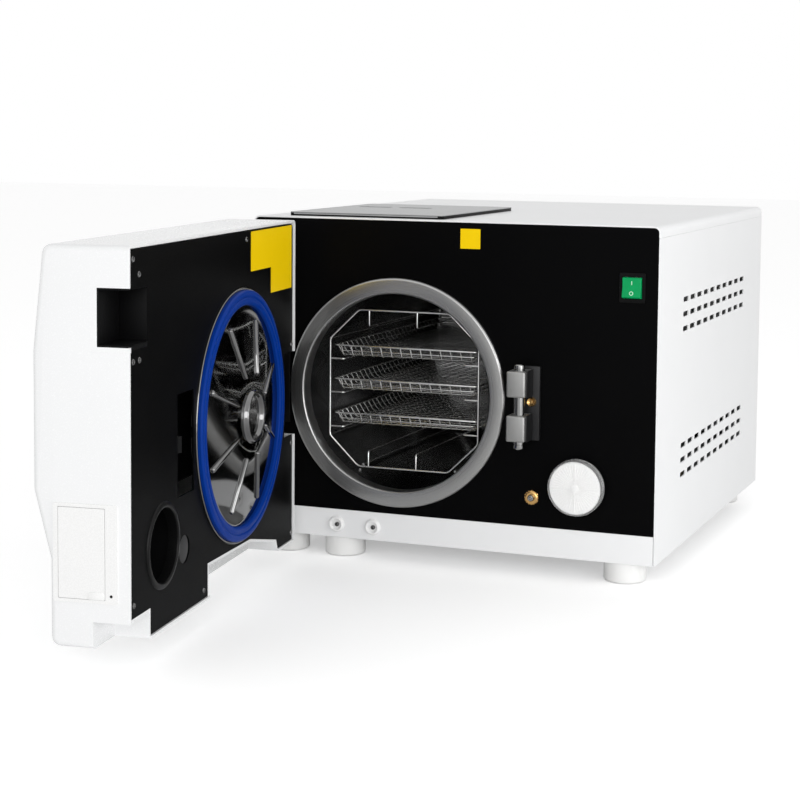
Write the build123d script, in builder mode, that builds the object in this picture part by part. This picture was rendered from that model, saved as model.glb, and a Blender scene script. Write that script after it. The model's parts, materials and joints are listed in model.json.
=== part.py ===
from build123d import *
import os
from math import atan2, cos, degrees, hypot, radians, sin, sqrt, tan

# Benchtop autoclave with its door open. Millimetres, x to the right, y to the back, z up.
# It is drawn with y = 0 on the black front panel and z = 0 on the table, and moved at the end
# so that the middle of its footprint is the origin.

# Casing
casing_width = 534.0
casing_height = 409.0
casing_depth = 613.0
sheet = 2.0
edge_radius = 8.0
cover_skirt = 14.0
fascia_height = 36.0
foot_height = 26.0
foot_diameter = 52.0
foot_inset = 44.0
foot_setback = 30.0
door_side_foot_step = 79.0
casing_slip = 0.3

# Side vents
vent_length = 26.0
vent_height = 6.0
vent_pitch_y = 37.8
vent_pitch_z = 18.5
vent_columns = 10
vent_rows = 3
vent_middle_y = 308.0
vent_upper_rise = 293.5
vent_lower_rise = 109.0

# Chamber
chamber_bore = 250.0
chamber_wall = 3.0
chamber_length = 450.0
chamber_dish = 30.0
chamber_offset = 68.5
chamber_rise = 190.4
flange_diameter = 290.0
flange_proud = 5.0
flange_neck = 16.0
flange_neck_wall = 12.0
jacket_thickness = 18.0
heater_thickness = 2.0
heater_width = 60.0
heater_count = 3
curve_gap = 0.3
cradle_plate = 5.0
cradle_width = 200.0
cradle_rise = 110.0

# Tank and its cover on top
tank_offset = 120.5
tank_width = 207.0
tank_length = 272.0
tank_setback = 20.0
tank_depth = 56.0
tank_wall = 3.0
tank_rim = 9.0
lid_thickness = 3.0
lid_trim_thickness = 2.0
lid_overlap = 2.0
lid_corner = 6.0
lid_fit = 1.0
lid_slot_length = 30.0
lid_slot_width = 14.0
lid_slot_pitch = 58.0
lid_slot_setback = 189.0

# Door
open_angle = 82.85
hinge_inset = 19.0
hinge_forward = 75.0
door_gap = 12.3
door_rim_proud = 2.0
door_rim = 4.5
door_thickness = 103.0
door_foot_thickness = 85.0
door_top_thickness = 92.0
door_wall = 3.0
door_bottom_rise = 1.5
door_top_drop = 2.0
door_bulge_low = 160.0
door_bulge_high = 300.0
door_step_rise = 90.0
door_edge_radius = 10.0
door_corner_radius = 7.0
door_panel_thickness = 2.0
pocket_depth = 38.0

# Hand recess beside the power switch
recess_width = 51.0
recess_height = 60.0
recess_rise = 333.0
recess_depth = 36.5
recess_wall = 2.0

# Notch at the free lower corner
notch_width = 55.0
notch_height = 28.0

# Cut-out over the drain ports
drain_pocket_left = 61.5
drain_pocket_right = 305.0
drain_pocket_low = 13.7
drain_pocket_high = 38.0

# Disc, gasket and beam
disc_diameter = 296.0
disc_flange = 7.0
disc_face_proud = 1.8
gasket_width = 17.5
gasket_groove = 3.0
gasket_clearance = 0.3
dish_radius = 124.0
dish_depth = 15.5
dish_wall = 3.5
dish_floor_radius = 42.0
hub_ring_radius = 26.0
hub_ring_width = 7.0
hub_ring_height = 5.0
rib_count = 8
rib_turn = 13.0
rib_inner = 47.0
rib_outer = 113.0
rib_width = 8.0
rib_height = 3.5
beam_thickness = 12.0
beam_height = 112.0
beam_gap = 27.7
beam_post_diameter = 14.0
beam_post_pitch = 210.0
beam_post_rise = 40.0
stud_diameter = 20.0
stud_pad_diameter = 44.0
running = 0.05

# Hinge
hinge_pin_diameter = 14.0
hinge_knuckle_radius = 13.0
hinge_knuckle_height = 60.0
hinge_slip = 0.5
hinge_arm_width = 24.0
hinge_pin_overhang = 6.0
hinge_notch_height = 105.0
hinge_notch_clear = 5.0
hinge_base_thickness = 4.0
hinge_base_width = 46.0
hinge_base_height = 92.0

# Striker on the front panel and hook in the door
striker_offset = 100.5
striker_forward = 24.0
striker_rise = 187.0
striker_pin_diameter = 13.0
striker_pin_length = 100.0
striker_radius = 11.8
striker_height = 86.0
striker_gap = 22.4
striker_base = 6.0
striker_flange = 33.0
hook_height = 18.0
hook_grip = 0.6
hook_finger = 7.7
hook_arm = 11.0
hook_side_gap = 3.0
hook_boss_radius = 11.0
hook_pivot_forward = 62.0
hook_release = 28.0
latch_shaft_diameter = 10.0
latch_lug = 12.0
latch_slot_width = 47.5
latch_slot_height = 110.0

# Fittings on the front
switch_offset = 234.0
switch_rise = 335.0
switch_width = 32.0
switch_height = 36.0
rocker_width = 23.0
rocker_radius = 12.7
rocker_clear = 0.4
rocker_throw = 16.0
bezel_proud = 2.0
filter_offset = 173.6
filter_rise = 91.0
filter_diameter = 70.0
filter_thickness = 20.0
filter_neck_diameter = 24.0
filter_neck = 6.0
filter_ribs = 24
filter_cup_radius = 42.0
filter_cup_depth = 34.0
port_offset = 112.7
port_rise = 72.8
port_diameter = 19.0
port_proud = 10.0
port_cup_depth = 12.0
drain_rise = 17.0
drain_left_offset = 148.6
drain_right_offset = 98.9
drain_diameter = 21.0
drain_proud = 5.0
drain_bore = 9.0

# Printer in the free side of the door
printer_setback = 11.0
printer_width = 69.0
printer_rise = 99.0
printer_height = 100.0
printer_frame_depth = 1.5
printer_lid_width = 50.0
printer_lid_height = 92.0
printer_lid_thickness = 2.5
printer_lid_setback = 24.5
printer_depth = 40.0

# Display in the front of the door
display_width = 118.0
display_height = 56.0
display_rise = 262.0
display_offset = 30.0
display_thickness = 3.0

# Screws of the door panel
screw_radius = 3.2
screw_head = 1.0
screw_edge = 9.5
screw_pair_step = 16.0
screw_recess_drop = 42.0
screw_middle_step = 19.0

# Rack and trays
wire = 3.5
rack_half_width = 99.0
rack_half_flat = 61.0
rack_top_rise = 99.0
rack_bottom_drop = 101.0
rack_shoulder_high = 62.0
rack_shoulder_low = 63.0
rack_setback = 16.0
rack_length = 400.0
rack_runner_diameter = 5.0
rack_guide_pitch = 65.0
rack_guide_shift = 14.0
rack_guide_drop = 20.0
weld_gap = 0.1
corner_trim = 0.45
rail_reach = 16.0
tray_count = 3
tray_pitch = 43.0
tray_top_rise = 53.0
tray_width = 187.0
tray_length = 390.0
tray_height = 16.0
tray_wire = 2.0
tray_rim = 3.0
tray_mesh_pitch = 24.0
tray_mesh_columns = 4
tray_rest_gap = 0.3

# Rear panel fittings
fan_offset = 178.0
fan_rise = 150.0
fan_size = 120.0
fan_depth = 25.0
fan_bore_radius = 56.0
fan_blade_gap = 1.5
fan_hub_radius = 19.0
fan_blades = 7
fan_spider = 8.0
grille_slot = 7.0
grille_pitch = 14.0
grille_rows = 7
inlet_offset = 200.0
inlet_rise = 58.0
inlet_width = 48.0
inlet_height = 28.0
valve_rise = 300.0
valve_radius = 8.0
valve_proud = 24.0


def front_plane(y):
    """Upright plane at depth y, looking from the front, that extrudes forwards."""
    return Plane.XZ.offset(-y)


def side_plane(x):
    """Upright plane at x, that extrudes to the right."""
    return Plane.YZ.offset(x)


casing_bottom = foot_height
casing_top = casing_bottom + casing_height
half_width = casing_width / 2
chamber_x = -chamber_offset
chamber_z = casing_bottom + chamber_rise
chamber_axis = Axis((chamber_x, 0, chamber_z), (0, 1, 0))
chamber_section = Plane(origin=(chamber_x, 0, chamber_z), x_dir=(0, 1, 0), z_dir=(1, 0, 0))
chamber_radius = chamber_bore / 2
rear_inside = casing_depth - sheet

# Bottom of the casing: a folded tray whose front wall is the white strip below the panel
tray_side = half_width - sheet - casing_slip
with BuildPart() as base_tray:
    with BuildSketch(Plane.XY.offset(casing_bottom)):
        with Locations((0, rear_inside / 2)):
            Rectangle(2 * tray_side, rear_inside)
    extrude(amount=fascia_height)
    offset(amount=-sheet, openings=base_tray.faces().sort_by(Axis.Z)[-1])
    with BuildSketch(front_plane(sheet)):
        with Locations(
            (-drain_left_offset, casing_bottom + drain_rise),
            (-drain_right_offset, casing_bottom + drain_rise),
        ):
            Circle(drain_bore)
    extrude(amount=sheet, mode=Mode.SUBTRACT)
base_tray.part.label = "base_tray"

# Feet: one under each corner, and a second one in front under the weight of the open door
foot_x = half_width - foot_inset
foot_spots = [
    (foot_x, foot_setback),
    (foot_x, casing_depth - foot_inset),
    (-foot_x, casing_depth - foot_inset),
    (-half_width + foot_setback + casing_slip + foot_diameter / 6, foot_setback),
    (-half_width + foot_setback + casing_slip + foot_diameter / 6 + door_side_foot_step, foot_setback),
]
with BuildPart() as feet:
    with BuildSketch(Plane.XY):
        with Locations(*foot_spots):
            Circle(foot_diameter / 2)
    extrude(amount=foot_height)
    chamfer(feet.edges().group_by(Axis.Z)[0], length=2)
feet.part.label = "feet"

# Side sheets with two groups of vents
vent_rise = {"upper": casing_bottom + vent_upper_rise, "lower": casing_bottom + vent_lower_rise}


def side_sheet(x):
    """One flat side of the casing, from x outwards by a sheet thickness."""
    with BuildPart() as panel:
        with BuildSketch(side_plane(x)):
            with Locations((casing_depth / 2, (casing_bottom + casing_top - cover_skirt) / 2)):
                Rectangle(casing_depth, casing_height - cover_skirt)
            for rise in vent_rise.values():
                with Locations((vent_middle_y, rise)):
                    with GridLocations(vent_pitch_y, vent_pitch_z, vent_columns, vent_rows):
                        Rectangle(vent_length, vent_height, mode=Mode.SUBTRACT)
        extrude(amount=sheet)
        bottom = panel.edges().filter_by(Axis.X).group_by(Axis.Z)[0]
        fillet(bottom, radius=edge_radius / 2)
    return panel


right_side_panel = side_sheet(half_width - sheet)
right_side_panel.part.label = "right_side_panel"
left_side_panel = side_sheet(-half_width)
left_side_panel.part.label = "left_side_panel"

# Top cover: a folded sheet with rounded long edges and the opening over the tank
opening_width = tank_width
opening_length = tank_length
tank_x = -tank_offset
tank_y = tank_setback + tank_length / 2
with BuildPart() as top_cover:
    with BuildSketch(front_plane(casing_depth)):
        with Locations((0, casing_top - cover_skirt / 2)):
            outline = Rectangle(casing_width, cover_skirt)
        fillet(outline.vertices().group_by(Axis.Y)[-1], radius=edge_radius)
        with BuildSketch(front_plane(casing_depth), mode=Mode.PRIVATE) as hollow:
            with Locations((0, casing_top - cover_skirt / 2 - sheet)):
                inside = Rectangle(casing_width - 2 * sheet, cover_skirt)
            fillet(inside.vertices().group_by(Axis.Y)[-1], radius=edge_radius - sheet)
        add(hollow.sketch, mode=Mode.SUBTRACT)
    extrude(amount=casing_depth)
    with BuildSketch(Plane.XY.offset(casing_top)):
        with Locations((tank_x, tank_y)):
            Rectangle(opening_width, opening_length)
    extrude(amount=-2 * sheet, mode=Mode.SUBTRACT)
top_cover.part.label = "top_cover"

# Black front panel inside the casing's lip
panel_half = half_width - sheet - casing_slip
panel_bottom = casing_bottom + fascia_height
panel_top = casing_top - sheet - casing_slip
flange_radius = flange_diameter / 2
neck_radius = chamber_radius + flange_neck_wall
switch_z = casing_bottom + switch_rise
filter_z = casing_bottom + filter_rise
port_z = casing_bottom + port_rise
rocker_hole = 2 * (rocker_radius + rocker_clear)
port_neck = port_diameter / 3
with BuildPart() as front_panel:
    with BuildSketch(front_plane(sheet)) as panel_outline:
        with Locations((0, (panel_bottom + panel_top) / 2)):
            Rectangle(2 * panel_half, panel_top - panel_bottom)
        fillet(panel_outline.vertices().group_by(Axis.Y)[-1], radius=edge_radius - sheet)
        with Locations((chamber_x, chamber_z)):
            Circle(neck_radius + curve_gap, mode=Mode.SUBTRACT)
        with Locations((switch_offset, switch_z)):
            Rectangle(rocker_width + 2 * rocker_clear, rocker_hole, mode=Mode.SUBTRACT)
        with Locations((filter_offset, filter_z)):
            Circle(filter_neck_diameter / 2, mode=Mode.SUBTRACT)
        with Locations((port_offset, port_z)):
            Circle(port_neck, mode=Mode.SUBTRACT)
    extrude(amount=sheet)
front_panel.part.label = "front_panel"

# Rear panel with the fan grille, mains inlet and valve openings
fan_z = casing_bottom + fan_rise
inlet_z = casing_bottom + inlet_rise
valve_z = casing_bottom + valve_rise
with BuildPart() as rear_panel:
    with BuildSketch(front_plane(casing_depth)) as rear_outline:
        with Locations((0, (casing_bottom + panel_top) / 2)):
            Rectangle(2 * panel_half, panel_top - casing_bottom)
        fillet(rear_outline.vertices().group_by(Axis.Y)[-1], radius=edge_radius - sheet)
        for row in range(grille_rows):
            height = (row - (grille_rows - 1) / 2) * grille_pitch
            chord = 2 * sqrt((fan_bore_radius - grille_slot / 2) ** 2 - height**2)
            with Locations((fan_offset, fan_z + height)):
                Rectangle(chord - grille_slot, grille_slot, mode=Mode.SUBTRACT)
        with Locations((inlet_offset, inlet_z)):
            Rectangle(inlet_width, inlet_height, mode=Mode.SUBTRACT)
        with Locations((chamber_x, valve_z)):
            Circle(valve_radius, mode=Mode.SUBTRACT)
    extrude(amount=sheet)
rear_panel.part.label = "rear_panel"

# Chamber mouth: a turned flange that the gasket seals against
with BuildPart() as flange_ring:
    with BuildSketch(chamber_section):
        with BuildLine():
            Polyline(
                (-flange_proud, chamber_radius),
                (-flange_proud, flange_radius),
                (0, flange_radius),
                (0, neck_radius),
                (flange_neck, neck_radius),
                (flange_neck, chamber_radius),
                close=True,
            )
        make_face()
    revolve(axis=chamber_axis)
    front_edges = flange_ring.edges().filter_by(GeomType.CIRCLE).group_by(Axis.Y)[0]
    chamfer(front_edges.sort_by(SortBy.RADIUS)[-1], length=1.5)
    fillet(front_edges.sort_by(SortBy.RADIUS)[0], radius=2)
flange_ring.part.label = "flange_ring"

# Chamber: a drawn vessel with a dished back, welded to the back of the flange
chamber_end = flange_neck + chamber_length
outer_radius = chamber_radius + chamber_wall
inner_dish = chamber_dish - chamber_wall


def dome_bulge(radius, height):
    """How far a spherical dome stands out half way between its rim and its middle."""
    ball = (radius**2 + height**2) / (2 * height)
    return sqrt(ball**2 - (radius / 2) ** 2) - (ball - height)


with BuildPart() as chamber:
    with BuildSketch(front_plane(chamber_end)):
        with Locations((chamber_x, chamber_z)):
            Circle(outer_radius)
            Circle(chamber_radius, mode=Mode.SUBTRACT)
    extrude(amount=chamber_length)
    with BuildSketch(chamber_section):
        with BuildLine():
            Line((chamber_end, 0), (chamber_end, outer_radius))
            ThreePointArc(
                (chamber_end, outer_radius),
                (chamber_end + dome_bulge(outer_radius, chamber_dish), outer_radius / 2),
                (chamber_end + chamber_dish, 0),
            )
            Line((chamber_end + chamber_dish, 0), (chamber_end, 0))
        make_face()
    revolve(axis=chamber_axis)
    with BuildSketch(chamber_section):
        with BuildLine():
            Line((chamber_end, 0), (chamber_end, chamber_radius))
            ThreePointArc(
                (chamber_end, chamber_radius),
                (chamber_end + dome_bulge(chamber_radius, inner_dish), chamber_radius / 2),
                (chamber_end + inner_dish, 0),
            )
            Line((chamber_end + inner_dish, 0), (chamber_end, 0))
        make_face()
    revolve(axis=chamber_axis, mode=Mode.SUBTRACT)
chamber.part.label = "chamber"


def ring_round_chamber(inner, outer):
    """Draw a plain ring round the chamber axis."""
    with Locations((chamber_x, chamber_z)):
        Circle(outer)
        Circle(inner, mode=Mode.SUBTRACT)


# Heater bands and the insulation round them
band_inner = outer_radius + curve_gap
jacket_inner = band_inner + heater_thickness + curve_gap
jacket_outer = jacket_inner + jacket_thickness
band_pitch = (chamber_length - heater_width) / heater_count
with BuildPart() as heater_bands:
    for band in range(heater_count):
        with BuildSketch(front_plane(flange_neck + (band + 0.5) * band_pitch + heater_width)):
            ring_round_chamber(band_inner, band_inner + heater_thickness)
        extrude(amount=heater_width)
heater_bands.part.label = "heater_bands"

with BuildPart() as insulation:
    with BuildSketch(front_plane(chamber_end)):
        ring_round_chamber(jacket_inner, jacket_outer)
    extrude(amount=chamber_length - sheet)
insulation.part.label = "insulation"

# Two cradle plates carry the insulated chamber on the base
tray_floor = casing_bottom + sheet
cradle_top = tray_floor + cradle_rise
with BuildPart() as chamber_cradle:
    for share in (0.2, 0.8):
        with BuildSketch(front_plane(flange_neck + share * chamber_length)):
            with Locations((chamber_x, (tray_floor + cradle_top) / 2)):
                Rectangle(cradle_width, cradle_top - tray_floor)
            with Locations((chamber_x, chamber_z)):
                Circle(jacket_outer + curve_gap, mode=Mode.SUBTRACT)
        extrude(amount=cradle_plate)
chamber_cradle.part.label = "chamber_cradle"

# Water tank: an open box that hangs by its rim under the opening in the top cover
tank_top = casing_top - sheet
with BuildPart() as water_tank:
    with BuildSketch(Plane.XY.offset(tank_top)):
        with Locations((tank_x, tank_y)):
            Rectangle(tank_width, tank_length)
    extrude(amount=-tank_depth)
    offset(amount=-tank_wall, openings=water_tank.faces().sort_by(Axis.Z)[-1])
    with BuildSketch(Plane.XY.offset(tank_top)):
        with Locations((tank_x, tank_y)):
            Rectangle(tank_width + 2 * tank_rim, tank_length + tank_rim)
            Rectangle(tank_width - tank_wall, tank_length - tank_wall, mode=Mode.SUBTRACT)
    extrude(amount=-tank_wall)
water_tank.part.label = "water_tank"

# Lift-off lid with a dark edge trim under it and two finger slots
lid_width = opening_width + 2 * lid_overlap
lid_length = opening_length + 2 * lid_overlap
lid_bottom = casing_top + lid_trim_thickness
slot_y = lid_slot_setback + lid_slot_width / 2
with BuildPart() as lid_trim:
    with BuildSketch(Plane.XY.offset(casing_top)) as trim_outline:
        with Locations((tank_x, tank_y)):
            Rectangle(lid_width, lid_length)
        fillet(trim_outline.vertices(), radius=lid_corner)
        with Locations((tank_x, tank_y)):
            Rectangle(opening_width - 2 * tank_wall, opening_length - 2 * tank_wall, mode=Mode.SUBTRACT)
    extrude(amount=lid_trim_thickness)
    with BuildSketch(Plane.XY.offset(casing_top)):
        with Locations((tank_x, tank_y)):
            Rectangle(opening_width - 2 * lid_fit, opening_length - 2 * lid_fit)
            Rectangle(opening_width - 2 * tank_wall, opening_length - 2 * tank_wall, mode=Mode.SUBTRACT)
    extrude(amount=-sheet + casing_slip)
lid_trim.part.label = "lid_trim"

with BuildPart() as tank_lid:
    with BuildSketch(Plane.XY.offset(lid_bottom)) as lid_outline:
        with Locations((tank_x, tank_y)):
            Rectangle(lid_width, lid_length)
        fillet(lid_outline.vertices(), radius=lid_corner)
        with Locations((tank_x, slot_y), (tank_x - lid_slot_pitch, slot_y)):
            SlotOverall(lid_slot_length, lid_slot_width, mode=Mode.SUBTRACT)
    extrude(amount=lid_thickness)
tank_lid.part.label = "tank_lid"

# Door, drawn closed in front of the panel and swung open at the end
hinge_x = -half_width + hinge_inset
hinge_y = -hinge_forward
door_back = -door_gap
door_rim_y = door_back + door_rim_proud
door_bottom = casing_bottom + door_bottom_rise
door_top = casing_top - door_top_drop
latch_z = casing_bottom + striker_rise


# Side outline of the door: a foot, a bulge in the middle and a rounded top
door_outline = [
    (door_rim_y, door_bottom),
    (door_back - door_foot_thickness, door_bottom),
    (door_back - door_foot_thickness, casing_bottom + door_step_rise),
    (door_back - door_thickness, casing_bottom + door_bulge_low),
    (door_back - door_thickness, casing_bottom + door_bulge_high),
    (door_back - door_top_thickness, door_top),
    (door_rim_y, door_top),
]
with BuildPart() as door_block:
    with BuildSketch(side_plane(-half_width)):
        with BuildLine():
            FilletPolyline(*door_outline, radius=door_edge_radius)
            Line(door_outline[-1], door_outline[0])
        make_face()
    extrude(amount=casing_width)
    for end in (door_block.faces().sort_by(Axis.X)[0], door_block.faces().sort_by(Axis.X)[-1]):
        front_chain = end.edges().filter_by(lambda edge: edge.center().Y < door_rim_y - door_corner_radius)
        fillet(front_chain, radius=door_corner_radius)

# Hollow of the door, with the pockets that stay walled off in it
recess_z = casing_bottom + recess_rise
notch_top = door_bottom + notch_height
pocket_left = -half_width + drain_pocket_left
pocket_right = -half_width + drain_pocket_right
pocket_low = casing_bottom + drain_pocket_low
pocket_high = casing_bottom + drain_pocket_high


def drain_pocket(grow):
    """Corners of the cut-out over the drain ports, grown by a wall."""
    return [
        (pocket_left - grow, door_bottom - grow),
        (pocket_left + drain_pocket_low * 0.6 - grow, pocket_low + grow),
        (pocket_left + 2.7 * drain_pocket_high, pocket_high - 3 + grow),
        (pocket_right + grow, pocket_high + grow),
        (pocket_right + grow, door_bottom - grow),
    ]


with BuildPart() as door_hollow:
    with BuildSketch(side_plane(-half_width + door_wall)):
        with BuildLine():
            FilletPolyline(*door_outline, radius=door_edge_radius)
            Line(door_outline[-1], door_outline[0])
        make_face()
        offset(amount=-door_wall)
        with Locations(((door_rim_y + door_back) / 2, (door_bottom + door_top) / 2)):
            Rectangle(4 * door_rim_proud, door_top - door_bottom - 2 * door_wall)
    extrude(amount=casing_width - 2 * door_wall)
    with BuildSketch(front_plane(door_back - pocket_depth - door_wall)):
        with BuildLine():
            Polyline(drain_pocket(door_wall), close=True)
        make_face()
        with Locations((half_width, door_bottom)):
            Rectangle(2 * (notch_width + door_wall), 2 * (notch_height + door_wall))
    extrude(amount=-pocket_depth - door_wall, mode=Mode.SUBTRACT)

with BuildPart() as door_shell:
    add(door_block.part)
    add(door_hollow.part, mode=Mode.SUBTRACT)
    with BuildSketch(front_plane(door_back - pocket_depth)):
        with BuildLine():
            Polyline(drain_pocket(0), close=True)
        make_face()
        with Locations((half_width, door_bottom)):
            Rectangle(2 * notch_width, 2 * notch_height)
    extrude(amount=-2 * pocket_depth, mode=Mode.SUBTRACT)
    with BuildSketch(side_plane(half_width - 2 * door_wall)):
        recess_reach = recess_depth + recess_wall + door_rim_proud
        with Locations((door_rim_y - recess_reach / 2, recess_z)):
            Rectangle(recess_reach, recess_height + 2 * recess_wall)
        with Locations((door_back - printer_setback - printer_width / 2, casing_bottom + printer_rise)):
            Rectangle(printer_width - 2 * door_wall, printer_height - 2 * door_wall)
    extrude(amount=3 * door_wall, mode=Mode.SUBTRACT)
    with BuildSketch(side_plane(-half_width - door_wall)):
        swing_depth = hinge_forward - door_gap + hinge_arm_width
        with Locations((door_back - swing_depth / 2, chamber_z)):
            Rectangle(swing_depth + 4 * door_rim_proud, hinge_notch_height)
    extrude(amount=4 * door_wall, mode=Mode.SUBTRACT)
    with BuildSketch(front_plane(door_back - door_thickness + 2 * door_wall)):
        with Locations((display_offset, casing_bottom + display_rise)):
            Rectangle(display_width - 2 * door_wall, display_height - 2 * door_wall)
    extrude(amount=4 * door_wall, mode=Mode.SUBTRACT)
door_shell.part.label = "door_shell"

# Black inner panel of the door, set into the shell's rim
inner_half = half_width - door_rim
inner_bottom = door_bottom + door_wall
inner_top = door_top - door_rim
slot_middle = striker_offset + latch_slot_width / 2 - striker_radius - 4.2
disc_radius = disc_diameter / 2
cup_distance = hypot(filter_offset - port_offset, filter_z - port_z)
port_cup_radius = cup_distance - filter_cup_radius - 2 * door_wall - casing_slip
with BuildPart() as door_panel:
    with BuildSketch(front_plane(door_back)) as inner_outline:
        with Locations((0, (inner_bottom + inner_top) / 2)):
            Rectangle(2 * inner_half, inner_top - inner_bottom)
        fillet(inner_outline.vertices().group_by(Axis.Y)[-1], radius=door_corner_radius)
    extrude(amount=door_panel_thickness)
    with BuildSketch(front_plane(door_back)):
        with BuildLine():
            Polyline(drain_pocket(door_wall), close=True)
        make_face()
        with Locations((half_width, door_bottom)):
            Rectangle(2 * (notch_width + door_wall), 2 * (notch_height + door_wall))
        with Locations((chamber_x, chamber_z)):
            Circle(disc_radius + casing_slip)
        with Locations((slot_middle, latch_z)):
            Rectangle(latch_slot_width, latch_slot_height)
        with Locations((filter_offset, filter_z)):
            Circle(filter_cup_radius)
        with Locations((port_offset, port_z)):
            Circle(port_cup_radius)
        with Locations((half_width, recess_z)):
            Rectangle(2 * recess_width, recess_height)
        with Locations((-half_width, chamber_z)):
            notch_reach = hinge_inset + hinge_arm_width / 2 + hinge_notch_clear
            Rectangle(2 * notch_reach, hinge_notch_height)
    extrude(amount=door_panel_thickness, mode=Mode.SUBTRACT)
door_panel.part.label = "door_panel"
panel_rear = door_back - door_panel_thickness

# Black liner of the hand recess, open at the panel and at the free side
with BuildPart() as switch_recess:
    with BuildSketch(front_plane(panel_rear)):
        with Locations((half_width - (recess_width + recess_wall) / 2, recess_z)):
            Rectangle(recess_width + recess_wall, recess_height + 2 * recess_wall)
    extrude(amount=recess_depth)
    with BuildSketch(front_plane(panel_rear)):
        with Locations((half_width - recess_width / 2, recess_z)):
            Rectangle(recess_width, recess_height)
    extrude(amount=recess_depth - recess_wall, mode=Mode.SUBTRACT)
switch_recess.part.label = "switch_recess"



# Cups in the door that clear the air filter and the brass port
def door_cup(x, z, radius, depth):
    """One round cup behind the door's panel."""
    with BuildPart() as cup:
        with BuildSketch(front_plane(panel_rear)):
            with Locations((x, z)):
                Circle(radius + door_wall)
        extrude(amount=depth)
        with BuildSketch(front_plane(panel_rear)):
            with Locations((x, z)):
                Circle(radius)
        extrude(amount=depth - door_wall, mode=Mode.SUBTRACT)
    return cup


filter_cup = door_cup(filter_offset, filter_z, filter_cup_radius, filter_cup_depth)
filter_cup.part.label = "filter_cup"
port_cup = door_cup(port_offset, port_z, port_cup_radius, port_cup_depth)
port_cup.part.label = "port_cup"

# Pressed door disc: a flange with the gasket groove and a dish with radial ribs
disc_face = door_back + disc_face_proud
dish_floor = disc_face - dish_depth
gasket_outer = flange_radius + casing_slip
gasket_inner = gasket_outer - gasket_width
groove_floor = disc_face - gasket_groove
with BuildPart() as door_disc:
    with BuildSketch(chamber_section):
        with BuildLine():
            Polyline(
                (disc_face, disc_radius),
                (disc_face, gasket_outer),
                (groove_floor, gasket_outer),
                (groove_floor, gasket_inner),
                (disc_face, gasket_inner),
                (disc_face, dish_radius),
                (dish_floor, dish_floor_radius),
                (dish_floor, hub_ring_radius + hub_ring_width / 2),
                (dish_floor + hub_ring_height, hub_ring_radius + hub_ring_width / 6),
                (dish_floor + hub_ring_height, hub_ring_radius - hub_ring_width / 6),
                (dish_floor, hub_ring_radius - hub_ring_width / 2),
                (dish_floor, 0),
                (dish_floor - dish_wall, 0),
                (dish_floor - dish_wall, dish_floor_radius),
                (disc_face - disc_flange, dish_radius),
                (disc_face - disc_flange, disc_radius),
                close=True,
            )
        make_face()
    revolve(axis=chamber_axis)
    slope = Vector(dish_radius - dish_floor_radius, dish_depth)
    rib_middle = (rib_inner + rib_outer) / 2
    rib_rise = dish_floor + (rib_middle - dish_floor_radius) * dish_depth / (dish_radius - dish_floor_radius)
    for rib in range(rib_count):
        turn = radians(90 - rib_turn + rib * 360 / rib_count)
        outwards = Vector(cos(turn), 0, sin(turn))
        along = outwards * slope.X + Vector(0, slope.Y, 0)
        upwards = Vector(0, slope.X, 0) - outwards * slope.Y
        middle = Vector(chamber_x, rib_rise, chamber_z) + outwards * rib_middle
        with BuildSketch(Plane(origin=middle, x_dir=along, z_dir=upwards)):
            Rectangle(rib_outer - rib_inner, rib_width)
        extrude(amount=rib_height, taper=32)
        with BuildSketch(Plane(origin=middle, x_dir=along, z_dir=upwards)):
            Rectangle(rib_outer - rib_inner, rib_width)
        extrude(amount=-dish_wall / 2)
door_disc.part.label = "door_disc"

# Blue gasket ring with two sealing lips
gasket_face = -flange_proud - gasket_clearance
lip = gasket_width / 5
with BuildPart() as gasket:
    with BuildSketch(chamber_section):
        with BuildLine():
            Polyline(
                (groove_floor, gasket_inner),
                (gasket_face - lip / 2, gasket_inner),
                (gasket_face, gasket_inner + lip),
                (gasket_face, gasket_inner + 2 * lip),
                (gasket_face - lip / 2, gasket_inner + 2.5 * lip),
                (gasket_face, gasket_inner + 3 * lip),
                (gasket_face, gasket_outer - lip),
                (gasket_face - lip / 2, gasket_outer),
                (groove_floor, gasket_outer),
                close=True,
            )
        make_face()
    revolve(axis=chamber_axis)
gasket.part.label = "gasket"

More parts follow.
